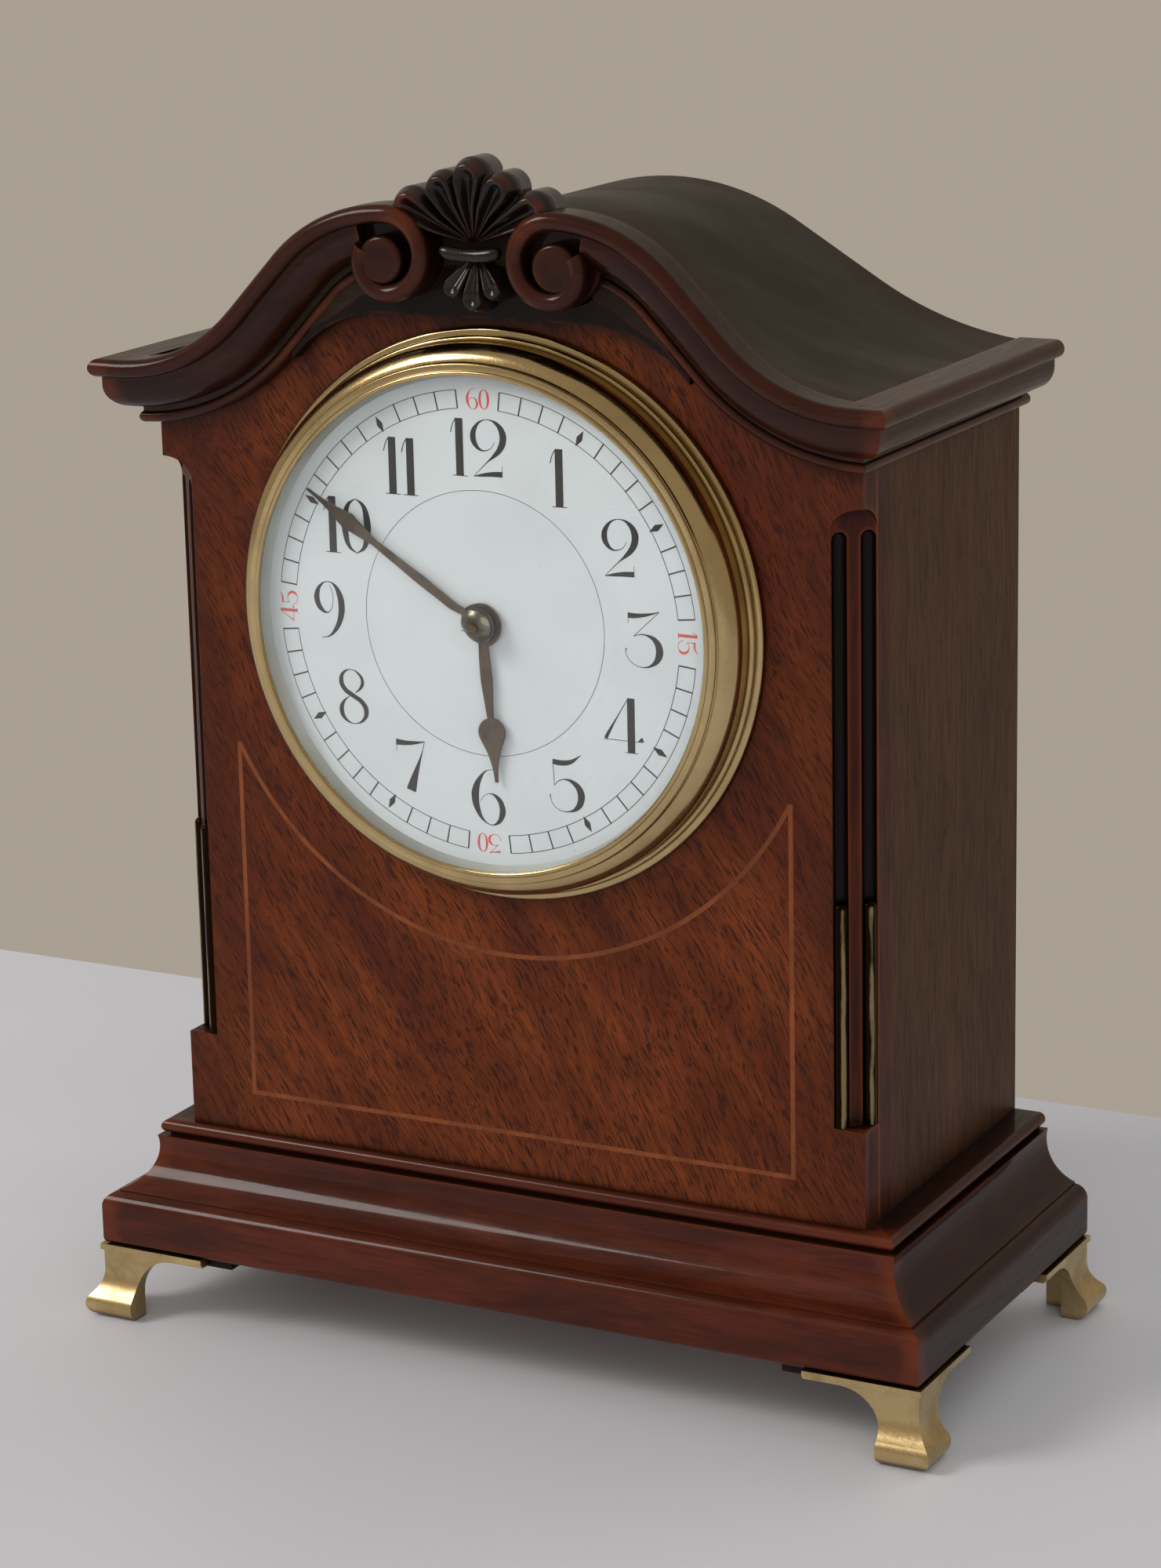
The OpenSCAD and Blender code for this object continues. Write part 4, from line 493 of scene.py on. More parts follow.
def post_wood(colours):
    """Corner posts: dark red mahogany, with painted shade making the flutes black, worn along their outer
    edges.
    """
    finish = Finish("post_mahogany", rough=0.42, coat=0.12, shine=0.12)
    broad, stripe, fibre, pore = wood_figure(finish, 16.0, (0, 0, 0), 0.004)
    out = on_cant(finish, "SUBTRACT", CANT_OUT)
    across = finish.sum("ABSOLUTE", on_cant(finish, "ADD", CANT_MIDDLE))
    red = Vector((0.050, 0.0085, 0.0026))
    body = finish.tint(red, red * 1.5, broad, 0.35, 0.68)
    body = finish.tint(body, red * 0.3, stripe, 0.40, 0.72, 0.7)
    body = finish.tint(body, red * 0.3, fibre, 0.38, 0.74, 0.5)
    # Painted shade: the flutes above the reeds are painted near black.
    flutes = finish.span(across, 4.15, 4.35, 1.0, 0.0)
    sunk = finish.sum("MULTIPLY", finish.span(out, -0.5, -0.05, 1.0, 0.0), flutes)
    body = finish.blend(sunk, body, (0.0022, 0.0010, 0.0007))
    edge = finish.sum("MULTIPLY", finish.span(across, 3.75, 4.3), finish.span(across, 4.5, 5.2, 1.0, 0.0))
    edge = finish.sum("MAXIMUM", finish.corners(0.0014, 0.01, 0.2), edge)
    front = finish.span(finish.sum("ADD", out, finish.span(stripe, 0.3, 0.7, -0.12, 0.12)), -0.3, 0.0)
    body = finish.cover(body, colours.veneer_light * 0.9, finish.sum("MULTIPLY", edge, front), 0.9)
    # Painted shade: near black laid where ambient occlusion finds a closed hollow.
    body = finish.cover(body, (0.0040, 0.0017, 0.0010), finish.hollows(0.003, 0.5, 0.95), 0.8)
    return varnished(finish, body, finish.span(pore, 0.57, 0.67), fibre, (0.4, 0.55), (0.10, 0.24))


def roof_wood(colours):
    """Roof: nearly black brown, worn satin."""
    finish = Finish("roof_mahogany", rough=0.5, coat=0.0, shine=0.14)
    broad, stripe, fibre, pore = wood_figure(finish, 16.0, (0, 90, 0), 0.006)
    dark = Vector((0.020, 0.0125, 0.0070))
    body = finish.tint(dark, dark * 1.5, broad, 0.35, 0.7)
    body = finish.tint(body, dark * 0.5, fibre, 0.4, 0.75, 0.45)
    worn = finish.sum("MULTIPLY", finish.corners(0.0009), finish.span(stripe, 0.35, 0.7))
    body = finish.cover(body, colours.veneer * 0.7, worn, 0.6)
    return varnished(finish, body, finish.span(pore, 0.57, 0.67), broad, (0.36, 0.52), (0.22, 0.38))


def moulding_wood(name, colours, turn, painted_light=1.0):
    """Mouldings: dark red mahogany, with painted shade in the hollows, and worn red on the noses, which also
    stands in part for a painted highlight.
    """
    finish = Finish(name, rough=0.36, coat=0.36, shine=0.06)
    broad, stripe, fibre, pore = wood_figure(finish, 18.0, turn, 0.004)
    # painted_light scales the colours up for a lighter copy: painted light on the lit front of the base.
    red = Vector((0.135, 0.026, 0.0070)) * (0.8 + 0.12 * painted_light)
    base = Vector(colours.moulding) * painted_light
    body = finish.tint(base, base * 1.7, broad, 0.36, 0.68)
    body = finish.tint(body, base * 0.38, stripe, 0.38, 0.7, 0.6)
    body = finish.tint(body, base * 0.45, fibre, 0.42, 0.72, 0.5)
    # Red on the noses and rounded edges: wear, and in part a painted highlight along the noses.
    rubbed = finish.sum("MAXIMUM", finish.corners(0.0016), finish.ridges(0.0034, 0.30, 0.75))
    worn = finish.sum("MULTIPLY", rubbed, finish.span(stripe, 0.3, 0.62, 0.25, 1.0))
    body = finish.cover(body, red, worn, 0.7)
    # Painted shade: near black laid in the coves where ambient occlusion finds a closed hollow.
    body = finish.cover(body, (0.0050, 0.0022, 0.0012), finish.hollows(0.012), 0.9)
    return varnished(finish, body, finish.span(pore, 0.57, 0.68), fibre, (0.32, 0.46), (0.05, 0.13))


def black_wood(colours):
    """Ebonised wood: brown shows through on the edges, with painted shade in the hollows."""
    finish = Finish("ebonised_wood", rough=0.4, coat=0.12, shine=0.1)
    broad, stripe, fibre, pore = wood_figure(finish, 8.0, (0, 0, 0), 0.01)
    black = Vector(colours.ebony)
    body = finish.tint(black, black * 1.8, broad, 0.35, 0.7)
    worn = finish.sum("MULTIPLY", finish.corners(0.0011), finish.span(stripe, 0.36, 0.62))
    body = finish.cover(body, (0.085, 0.020, 0.008), worn, 0.85)
    # Painted shade: darker black laid where ambient occlusion finds a closed hollow.
    body = finish.cover(body, black * 0.4, finish.hollows(0.004), 0.7)
    return varnished(finish, body, finish.span(pore, 0.55, 0.68), fibre, (0.28, 0.42), (0.08, 0.22))


def carved_wood(colours):
    """Carved crest: polished black, rubbed red on the tips of the lobes, with painted shade between them."""
    finish = Finish("carved_black_wood", rough=0.3, coat=0.5, shine=0.15)
    broad, stripe, fibre, pore = wood_figure(finish, 8.0, (0, 0, 0), 0.01)
    black = Vector(colours.ebony)
    body = finish.tint(black, black * 1.8, broad, 0.35, 0.7)
    middle = Vector((0, CASE_FRONT - 8.0, FAN_Z)) * MM
    away = finish.vectors("DISTANCE", {0: finish.place, 1: middle}, "Value")
    front = finish.span(finish.axes()["Y"], (CASE_FRONT - 8.6) * MM, (CASE_FRONT - 6.6) * MM, 1.0, 0.0)
    tip = finish.sum("MULTIPLY", finish.span(away, 0.0115, 0.0155), front)
    rubbed = finish.sum("MULTIPLY", tip, finish.span(stripe, 0.28, 0.55))
    edge = finish.sum("MULTIPLY", finish.corners(0.0009, 0.03, 0.3), 0.35)
    body = finish.cover(body, (0.105, 0.016, 0.005), finish.sum("MAXIMUM", rubbed, edge), 0.75)
    # Painted shade: darker black laid where ambient occlusion finds a closed hollow.
    body = finish.cover(body, black * 0.35, finish.hollows(0.003), 0.7)
    return varnished(finish, body, finish.span(pore, 0.55, 0.68), fibre, (0.26, 0.4), (0.06, 0.16))


def string_wood(colours):
    """Inlaid line: fine straight wood, mellowed by the polish."""
    finish = Finish("boxwood_line", rough=0.4, coat=0.22, shine=0.15)
    broad, stripe, fibre, pore = wood_figure(finish, 4.0, (0, 20, 0), 0.004)
    line = Vector(colours.stringing)
    body = finish.tint(line, line * 0.62, stripe, 0.3, 0.7)
    body = finish.tint(body, line * 0.3, pore, 0.6, 0.72, 0.6)
    return varnished(finish, body, fibre, broad, (0.36, 0.46))


def carcase_wood(colours):
    """Unpolished wood of the back, the base and the inside, with painted shade in its corners."""
    finish = Finish("carcase_wood", rough=0.62, shine=0.25)
    broad, stripe, fibre, pore = wood_figure(finish, 14.0, (0, 4, 0), 0.006)
    tone = Vector(colours.carcase)
    body = finish.tint(tone, tone * 1.45, broad, 0.34, 0.68)
    body = finish.tint(body, tone * 0.5, stripe, 0.4, 0.72, 0.55)
    body = finish.tint(body, tone * 0.45, fibre, 0.4, 0.74, 0.5)
    flecks = finish.span(pore, 0.57, 0.67)
    body = finish.cover(body, tone * 0.2, flecks, 0.7)
    # Painted shade: dark wood laid where ambient occlusion finds a closed corner.
    body = finish.cover(body, tone * 0.15, finish.hollows(0.006), 0.7)
    normal = finish.bumps(flecks, -0.0001, 0.4, finish.bumps(fibre, 0.00012, 0.5))
    return finish.done(body, finish.span(fibre, 0.3, 0.7, 0.52, 0.74), normal)


# Metals, enamel and glass

def worn_metal(name, bright, dull, rough, scratch, blotch=140.0, dull_most=0.85, spun=False):
    """A metal with darkened patches and hollows. Scratches run across it, unless it is spun."""
    finish = Finish(name, metal=1.0, rough=rough)
    patch = finish.noise(finish.place, blotch, 5.0, 0.62, 0.5)
    speck = finish.noise(finish.place, 1900.0, 3.0, 0.6)
    if spun:
        rub = finish.noise(finish.place, 2600.0, 2.0, 0.6)
    else:
        rub = finish.noise(finish.mapped((45, 1, 1), (14, 33, 21)), 3200.0, 2.0, 0.6)
    sunk = finish.span(finish.hollows(0.0022, 0.35, 0.954), 0.2, 1.0, 0.0, 0.95)
    share = finish.sum("MAXIMUM", finish.span(patch, 0.36, 0.72, 0.0, dull_most), sunk)
    body = finish.blend(share, bright, dull)
    body = finish.tint(body, Vector(dull) * 0.5, speck, 0.62, 0.74, 0.35)
    roughness = finish.sum("ADD", finish.span(patch, 0.3, 0.75, rough * 0.75, rough * 1.5),
                           finish.span(rub, 0.4, 0.75, 0.0, 0.10))
    normal = finish.bumps(patch, 0.00008, 0.3, finish.bumps(rub, 0.00001, scratch))
    return finish.done(body, roughness, normal)


def silvered_slip():
    """Slip ring under the glass: smooth silvering, a little yellow."""
    finish = Finish("silvered_slip", metal=1.0, rough=0.34)
    cloud = finish.noise(finish.place, 40.0, 3.0, 0.6)
    body = finish.tint((0.60, 0.62, 0.60), (0.50, 0.52, 0.48), cloud, 0.35, 0.7)
    return finish.done(body, finish.span(cloud, 0.3, 0.7, 0.3, 0.38))


def reed_brass(colours):
    """Brass reeds: tarnished nearly black, which also paints in their dark reflections, with a painted
    highlight along the crest.
    """
    finish = Finish("reed_brass", metal=1.0, rough=0.3)
    patch = finish.noise(finish.mapped((1, 1, 6)), 500.0, 4.0, 0.6)
    out = finish.sum("ADD", on_cant(finish, "SUBTRACT", CANT_OUT), finish.span(patch, 0.3, 0.7, -0.07, 0.07))
    # Painted highlight: the colour turns from near black to bright brass only at the outermost crest of each
    # reed.
    body = finish.tint((0.014, 0.0068, 0.0030), Vector(colours.brass) * 0.5, out, 0.94, 1.06)
    return finish.done(body, finish.span(patch, 0.3, 0.7, 0.22, 0.36), finish.bumps(patch, 0.00003, 0.4))


def enamel_dial(colours):
    """Fired enamel: glossy, very slightly wavy, with a few grey specks."""
    finish = Finish("dial_enamel", rough=0.22, coat=0.5, coat_rough=0.05)
    haze = finish.noise(finish.place, 60.0, 3.0, 0.5)
    speck = finish.noise(finish.place, 900.0, 2.0, 0.5)
    white = Vector(colours.enamel)
    body = finish.tint(white, white * 0.95, haze, 0.35, 0.7)
    body = finish.tint(body, white * 0.3, speck, 0.775, 0.79, 0.55)
    wave = finish.noise(finish.place, 130.0, 2.0, 0.5)
    return finish.done(body, finish.span(haze, 0.3, 0.7, 0.16, 0.26), finish.bumps(wave, 0.00004, 0.4))


def printed(name, colour):
    """Fired ceramic print: slightly uneven, a little less glossy than the enamel."""
    finish = Finish(name, rough=0.35, coat=0.3)
    thin = finish.noise(finish.place, 1500.0, 3.0, 0.6)
    body = finish.tint(colour, Vector(colour) * 2.2, thin, 0.45, 0.8, 0.35)
    return finish.done(body, finish.span(thin, 0.3, 0.7, 0.28, 0.42), finish.bumps(thin, 0.00002, 0.3))


def clear_glass():
    """Domed glass that lets the lamps through to the dial."""
    finish = Finish("clock_glass", rough=0.0, ior=1.45)
    finish.skin.inputs["Transmission Weight"].default_value = 1.0
    finish.skin.inputs["Base Color"].default_value = (0.97, 0.99, 0.985, 1.0)
    smear = finish.noise(finish.place, 90.0, 3.0, 0.6)
    finish.done(rough=finish.span(smear, 0.55, 0.8, 0.0, 0.03))
    clear = finish.node("ShaderNodeBsdfTransparent").outputs[0]
    shadow = finish.node("ShaderNodeLightPath").outputs["Is Shadow Ray"]
    mixed = finish.node("ShaderNodeMixShader", {0: shadow, 1: finish.skin.outputs[0], 2: clear})
    finish.feed(finish.tree.nodes["Material Output"].inputs["Surface"], mixed.outputs[0])
    return finish.material


def dress(nodes, material):
    """Gives a material to parts of the clock."""
    for name in nodes:
        slots = frame["nodes"][name].material_slots
        if not slots:
            raise RuntimeError(f"{name} has no material slot")
        for slot in slots:
            slot.material = material


def nodes_in(*slots):
    """The parts whose finish in the record is one of these."""
    return [node for node, slot in SLOT_OF.items() if slot in slots]


class CLOCK_OT_polish_woods(bpy.types.Operator):
    """Veneer, panels, mouldings, carving, stringing and carcase wood"""

    bl_idname = "clock.polish_woods"
    bl_label = "Polish the Woods"

    def execute(self, context):
        finish = settings()[1]
        dress(nodes_in("flamed_mahogany"), flamed_veneer(finish))
        dress(nodes_in("plain_mahogany"), plain_panel(finish))
        dress(["corner_post_left", "corner_post_right"], post_wood(finish))
        dress(["roof_board"], roof_wood(finish))
        across = moulding_wood("front_cornice", finish, (0, 90, 0))
        deep = moulding_wood("side_moulding", finish, (90, 0, 0))
        # Painted light: the front of the base is a copy three times lighter than its sides.
        dress(["base_moulding_front"], moulding_wood("front_base", finish, (0, 90, 0), painted_light=3.0))
        dress(["cornice_front_left", "cornice_front_right"], across)
        dress(["base_moulding_left", "base_moulding_right", "cornice_side_left", "cornice_side_right"], deep)
        dress(nodes_in("ebonised"), black_wood(finish))
        dress(nodes_in("boxwood"), string_wood(finish))
        dress(nodes_in("carcase_wood"), carcase_wood(finish))
        return {"FINISHED"}


# Carving of the crest, in millimetres

def lobe_of(lobes, angle):
    """The lobe that a ray crosses: its length and radius, the ray's angle off its middle, its half angle,
    both in radians, and how far out the ray leaves it.
    """
    middle, length, radius = min(lobes, key=lambda lobe: abs(angle - lobe[0]))
    half = math.degrees(math.asin(radius / length))
    off = math.radians(min(abs(angle - middle), half))
    rest = max(radius ** 2 - (length * math.sin(off)) ** 2, 0.0)
    return length, radius, off, math.radians(half), length * math.cos(off) + math.sqrt(rest)


def gouged(lobe, r, rise, gouge):
    """Height of a lobe over its outline: a rolled rim round a hollow, like the bowl of a spoon."""
    length, radius, off, half, _ = lobe
    x, y = r * math.cos(off) - length, r * math.sin(off)
    if math.atan2(y, x) < math.pi / 2 + half:
        inside, wide = radius - math.hypot(x, y), radius
    else:
        inside, wide = r * math.sin(half - off), max(min(radius, r * math.sin(half)), 0.05)
    share = min(max(inside / wide, 0.0), 1.0)
    rim = math.sin(min(share / RIM_SHARE, 1.0) * math.pi / 2)
    inner = max(share - RIM_SHARE, 0.0) / BOWL_SHARE
    bowl = inner * inner * (3 - 2 * inner)
    return rise * min(1.0, r / FULL_RISE) * (rim - gouge * bowl)


def roof_line(angle):
    """How far from the middle of the fan a ray comes out of the roof, found by halving."""
    low, high = 0.0, 16.0
    for _ in range(30):
        r = (low + high) / 2
        x, z = r * math.cos(math.radians(angle)), FAN_Z + r * math.sin(math.radians(angle))
        in_roof = math.hypot(x, z - ROOF_MID) < ROOF_RADIUS + ROOF_GAP
        low, high = (r, high) if in_roof else (low, r)
    return high


def carve_fan(shape, centre_z, lobes, first, last, rise, gouge, valley, foot, back=None):
    """A fan of gouged lobes from a first to a last angle, as a grid bent into one skin.

    valley, foot and back are places in Y from the front of the case: of the grooves between the lobes, of
    the flat back, and of the part of the back that stands above the roof.
    """
    columns = LOBE_COLUMNS + 5
    made = bmesh.ops.create_grid(shape, x_segments=columns, y_segments=LOBE_ROWS, size=0.5)
    for vert in made["verts"]:
        column = round((vert.co.x + 0.5) * columns)
        angle = first + (vert.co.y + 0.5) * (last - first)
        lobe = lobe_of(lobes, angle)
        out = lobe[-1]
        if column <= LOBE_COLUMNS:
            r = LOBE_START + (out - LOBE_START) * (1 - (1 - column / LOBE_COLUMNS) ** 1.6)
            y = valley - gouged(lobe, r, rise, gouge)
        else:
            step = out - BACK_STEP if back is None else min(roof_line(angle), out - BACK_STEP)
            rear = foot if back is None else back
            start = valley - gouged(lobe, LOBE_START, rise, gouge)
            r, y = ((out, rear), (step, rear), (step, foot), (LOBE_START, foot),
                    (LOBE_START, start))[column - LOBE_COLUMNS - 1]
        turn = math.radians(angle)
        vert.co = Vector((r * math.cos(turn), CASE_FRONT + y, centre_z + r * math.sin(turn))) * MM


def add_roll(shape):
    """The roll between fan and tail: narrow in its middle, with round ends that turn up a little."""
    roll = bmesh.ops.create_uvsphere(shape, u_segments=28, v_segments=30, radius=1.0)
    for vert in roll["verts"]:
        x, y, along = vert.co
        ring = math.hypot(x, y) or 1.0
        wide = ROLL_WAIST + ROLL_SWELL * along ** 2
        size = wide * math.sqrt(max(1 - abs(along) ** 5, 0.0)) / ring
        vert.co = Vector((ROLL_HALF * along, CASE_FRONT - 7.75 + y * size,
                          ROLL_Z + 0.7 * along ** 2 + x * size)) * MM


class CLOCK_OT_carve_crest(bpy.types.Operator):
    """Carved shell between the scrolls: five gouged lobes, a roll and a drooping tail"""

    bl_idname = "clock.carve_crest"
    bl_label = "Carve the Crest"

    def execute(self, context):
        shape = bmesh.new()
        carve_fan(shape, FAN_Z, FAN, 13, 167, rise=2.7, gouge=0.62, valley=-6.4, foot=-3.2, back=-1.0)
        carve_fan(shape, TAIL_Z, TAIL, -141, -39, rise=2.7, gouge=0.2, valley=-5.2, foot=-3.2)
        bmesh.ops.remove_doubles(shape, verts=shape.verts, dist=WELD)
        bmesh.ops.holes_fill(shape, edges=[edge for edge in shape.edges if edge.is_boundary], sides=0)
        add_roll(shape)
        crest = shown("crest_carving", from_bmesh("crest_carving", shape), "case",
                      carved_wood(settings()[1]))
        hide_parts("shell_crest")
        return {"FINISHED"}


def turn_bezel(brass):
    """Spun brass bezel: rolled edge, bead, swelled band and the raised lip round the glass."""
    section = [(SIGHT + BEZEL_BORE, 0.0)]
    for middle, rise, radius, first, last, steps in BEZEL_ARCS:
        for step in range(steps + 1):
            angle = math.radians(first + (last - first) * step / steps)
            section.append((SIGHT + middle + radius * math.cos(angle), rise + radius * math.sin(angle)))
    section += [(SIGHT + LIP_EDGE, GLASS_TOP), (SIGHT + GLASS_SEAT, GLASS_TOP),
                (SIGHT + GLASS_SEAT, GLASS_LOW), (SIGHT + BEZEL_BORE, GLASS_LOW)]
    shape = bmesh.new()
    loop = closed_loop(shape, [Vector((x, CASE_FRONT - height, 0)) * MM + Vector((0, 0, DIAL_CENTRE.z))
                               for x, height in section])
    bmesh.ops.spin(shape, geom=loop, cent=(0, 0, DIAL_CENTRE.z), axis=(0, 1, 0), dvec=(0, 0, 0),
                   angle=math.tau, steps=BEZEL_STEPS, use_merge=True, use_duplicate=False)
    bezel = shown("turned_bezel", from_bmesh("turned_bezel", shape), "case", brass)
    bezel.data.set_sharp_from_angle(angle=math.radians(32))
    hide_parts("bezel")


class CLOCK_OT_finish_metals(bpy.types.Operator):
    """Brass of the bezel, the feet and the works, steel, blued and bronzed steel"""

    bl_idname = "clock.finish_metals"
    bl_label = "Finish the Metals"

    def execute(self, context):
        finish = settings()[1]
        brass, tarnish = Vector(finish.brass), finish.tarnish
        cast = worn_metal("cast_brass", brass * 1.1, tarnish, 0.27, 0.5, 90.0, 0.5)
        spun = worn_metal("spun_brass", brass, tarnish, 0.15, 0.2, 45.0, 0.35, spun=True)
        dress(nodes_in("brass"), worn_metal("works_brass", brass * 1.05, tarnish, 0.24, 0.3, 120.0, 0.45))
        dress(["bracket_feet"], cast)
        dress(["dial_drum"], spun)
        turn_bezel(spun)
        dress(["corner_reeds"], reed_brass(finish))
        for nodes, metal in (
            (nodes_in("steel"), ("bright_steel", (0.50, 0.50, 0.49), (0.24, 0.22, 0.20), 0.16, 0.3)),
            (["hand_nut"], ("dark_nut_steel", (0.21, 0.185, 0.14), (0.07, 0.06, 0.045), 0.2, 0.2, 260.0)),
            (nodes_in("blued_steel"), ("blued_steel", (0.055, 0.075, 0.16), (0.045, 0.04, 0.05), 0.24, 0.3)),
            (nodes_in("bronzed_steel"),
             ("bronzed_steel", (0.175, 0.128, 0.086), (0.085, 0.062, 0.045), 0.36, 0.3, 260.0)),
        ):
            dress(nodes, worn_metal(*metal))
        dress(nodes_in("silvered"), silvered_slip())
        return {"FINISHED"}


class CLOCK_OT_fit_dial_and_glass(bpy.types.Operator):
    """Enamel of the dial and the domed glass in the bezel"""

    bl_idname = "clock.fit_dial_and_glass"
    bl_label = "Fit the Dial and the Glass"

    def execute(self, context):
        dress(nodes_in("enamel"), enamel_dial(settings()[1]))
        dress(nodes_in("glass"), clear_glass())
        return {"FINISHED"}


# Printing on the dial

def brushed(name, placed):
    """A mesh of brush strokes on the dial. placed holds (digit, transform, least half width)."""
    curve = bpy.data.curves.new(name, "CURVE")
    curve.dimensions = "3D"
    curve.twist_mode = "Z_UP"
    curve.bevel_depth = 1.0
    curve.bevel_resolution = 1
    curve.resolution_u = 6
    curve.use_fill_caps = True
    for digit, place, least in placed:
        grow = abs(place.determinant()) ** (1 / 3)
        for stroke in STROKES[digit]:
            straight = stroke[0] == "line"
            dots = stroke[1:] if straight else stroke
            spline = curve.splines.new("BEZIER")
            spline.radius_interpolation = "CARDINAL"
            spline.bezier_points.add(len(dots) - 1)
            for point, (x, y, width) in zip(spline.bezier_points, dots):
                point.co = place @ Vector((x, y, 0))
                point.radius = max(width * grow, least)
                point.handle_left_type = point.handle_right_type = "VECTOR" if straight else "AUTO"
    drawn = bpy.data.objects.new(name + "_strokes", curve)
    bpy.context.scene.collection.objects.link(drawn)
    bpy.context.view_layer.update()
    mesh = bpy.data.meshes.new_from_object(drawn.evaluated_get(bpy.context.evaluated_depsgraph_get()))
    bpy.data.objects.remove(drawn)
    bpy.data.curves.remove(curve)
    shape = bmesh.new()
    shape.from_mesh(mesh)
    bpy.data.meshes.remove(mesh)
    return shape


def print_dial(name, shape, ink, colour):
    """Fires a drawn shape on the dial as a piece of its own."""
    on_dial(shape.verts, settings()[0].print_height)
    shown(name, from_bmesh(name, shape), "case", printed(ink, colour), False)


def written(number, centre, grow, turn=0.0, least=0.05):
    """The digits of a number, set in a row about a point of the dial."""
    word = str(number)
    left = -(sum(ADVANCE[digit] for digit in word) + DIGIT_GAP * (len(word) - 1)) / 2
    placed = []
    for digit in word:
        middle = left + ADVANCE[digit] / 2 - MIDDLE.get(digit, 0.0)
        left += ADVANCE[digit] + DIGIT_GAP
        place = Matrix.Translation((*centre, 0)) @ Matrix.Rotation(turn, 4, "Z") @ Matrix.Scale(grow, 4)
        placed.append((digit, place @ Matrix.Translation((middle, 0, 0)), least))
    return placed


def clock_point(radius, minute):
    """A point on a circle of the dial, counted in minutes from twelve."""
    angle = math.radians(90 - 6 * minute)
    return radius * math.cos(angle), radius * math.sin(angle)


def spoke(minute, radius, *stretch):
    """A place on a circle of the dial, turned to its minute and stretched."""
    turned = Matrix.Rotation(math.radians(-6 * minute), 4, "Z") @ Matrix.Translation((0, radius, 0))
    return turned @ Matrix.Diagonal((*stretch, 1))


def ring_arc(shape, radius, half_width, first, last, steps):
    """A thin printed line along part of a circle, from one minute to another."""
    start = math.radians(90 - 6 * first)
    inner, outer = radius - half_width, radius + half_width
    loop = closed_loop(shape, [(r * math.cos(start), r * math.sin(start), z)
                               for r, z in ((inner, -1), (outer, -1), (outer, 1), (inner, 1))])
    whole = last - first == 60
    bmesh.ops.spin(shape, geom=loop, cent=(0, 0, 0), axis=(0, 0, -1), dvec=(0, 0, 0),
                   angle=math.radians(6 * (last - first)), steps=steps, use_merge=whole, use_duplicate=False)
    if not whole:
        bmesh.ops.holes_fill(shape, edges=shape.edges, sides=4)


def add_lozenge(shape, place):
    """A printed lozenge, drawn as a circle of four corners and thickened."""
    flat = bmesh.ops.create_circle(shape, cap_ends=True, segments=4, radius=1.0,
                                   matrix=place @ Matrix.Translation((0, 0, -1)))
    faces = list({face for vert in flat["verts"] for face in vert.link_faces})
    risen = bmesh.ops.extrude_face_region(shape, geom=faces, use_keep_orig=True)
    tops = [item for item in risen["geom"] if isinstance(item, bmesh.types.BMVert)]
    bmesh.ops.translate(shape, verts=tops, vec=(0, 0, 2))


class CLOCK_OT_print_numerals(bpy.types.Operator):
    """Twelve upright hour numerals, drawn with thick and thin strokes"""

    bl_idname = "clock.print_numerals"
    bl_label = "Print the Hour Numerals"

    def execute(self, context):
        dial, finish, _ = settings()
        grow = dial.numeral_height / DRAWN_HEIGHT
        placed = []
        for hour in range(1, 13):
            placed += written(hour, clock_point(dial.numeral_radius, hour * 5), grow)
        print_dial("hour_numerals", brushed("hour_numerals", placed), "black_print", finish.ink)
        return {"FINISHED"}


class CLOCK_OT_print_quarters(bpy.types.Operator):
    """Red numerals at the quarters, their tops to the outside"""

    bl_idname = "clock.print_quarters"
    bl_label = "Print the Quarter Numerals"

    def execute(self, context):
        dial, finish, _ = settings()
        grow = dial.quarter_height / DRAWN_HEIGHT
        radius = (dial.track_inner + dial.track_outer) / 2
        placed = []
        for minute in (15, 30, 45, 60):
            centre = clock_point(radius, minute)
            placed += written(minute, centre, grow, math.radians(-6 * minute), 0.055)
        print_dial("quarter_numerals", brushed("quarter_numerals", placed), "red_print", finish.red)
        return {"FINISHED"}


class CLOCK_OT_print_track(bpy.types.Operator):
    """Minute track of lines and lozenges, and the thin ring in the middle"""

    bl_idname = "clock.print_track"
    bl_label = "Print the Minute Track"

    def execute(self, context):
        dial, finish, _ = settings()
        shape = bmesh.new()
        half = dial.line_width / 2
        middle = (dial.track_inner + dial.track_outer) / 2
        depth = dial.track_outer - dial.track_inner
        for quarter in range(0, 60, 15):
            for radius in (dial.track_inner, dial.track_outer):
                ring_arc(shape, radius, half, quarter + 1, quarter + 14, 39)
        for five in range(0, 60, 5):
            for minute in range(five + 1, five + 5):
                place = spoke(minute, middle, 2.1 * dial.line_width, depth, 2)
                bmesh.ops.create_cube(shape, size=1.0, matrix=place)
            if five % 15:
                add_lozenge(shape, spoke(five, middle - 0.12 * depth, 0.62, depth * 0.5, 1))
        ring_arc(shape, dial.centre_ring, half * 0.7, 0, 60, 120)
        print_dial("minute_track", shape, "track_print", finish.ink)
        return {"FINISHED"}


class CLOCK_OT_set_stage(bpy.types.Operator):
    """Plain floor, soft lamps and the camera"""

    bl_idname = "clock.set_stage"
    bl_label = "Set the Stage"

    def execute(self, context):
        stage = settings()[2]
        lay_floor(stage)
        light_room(stage)
        hang_lamps(stage)
        place_camera(stage)
        context.scene.view_settings.view_transform = "Standard"
        return {"FINISHED"}


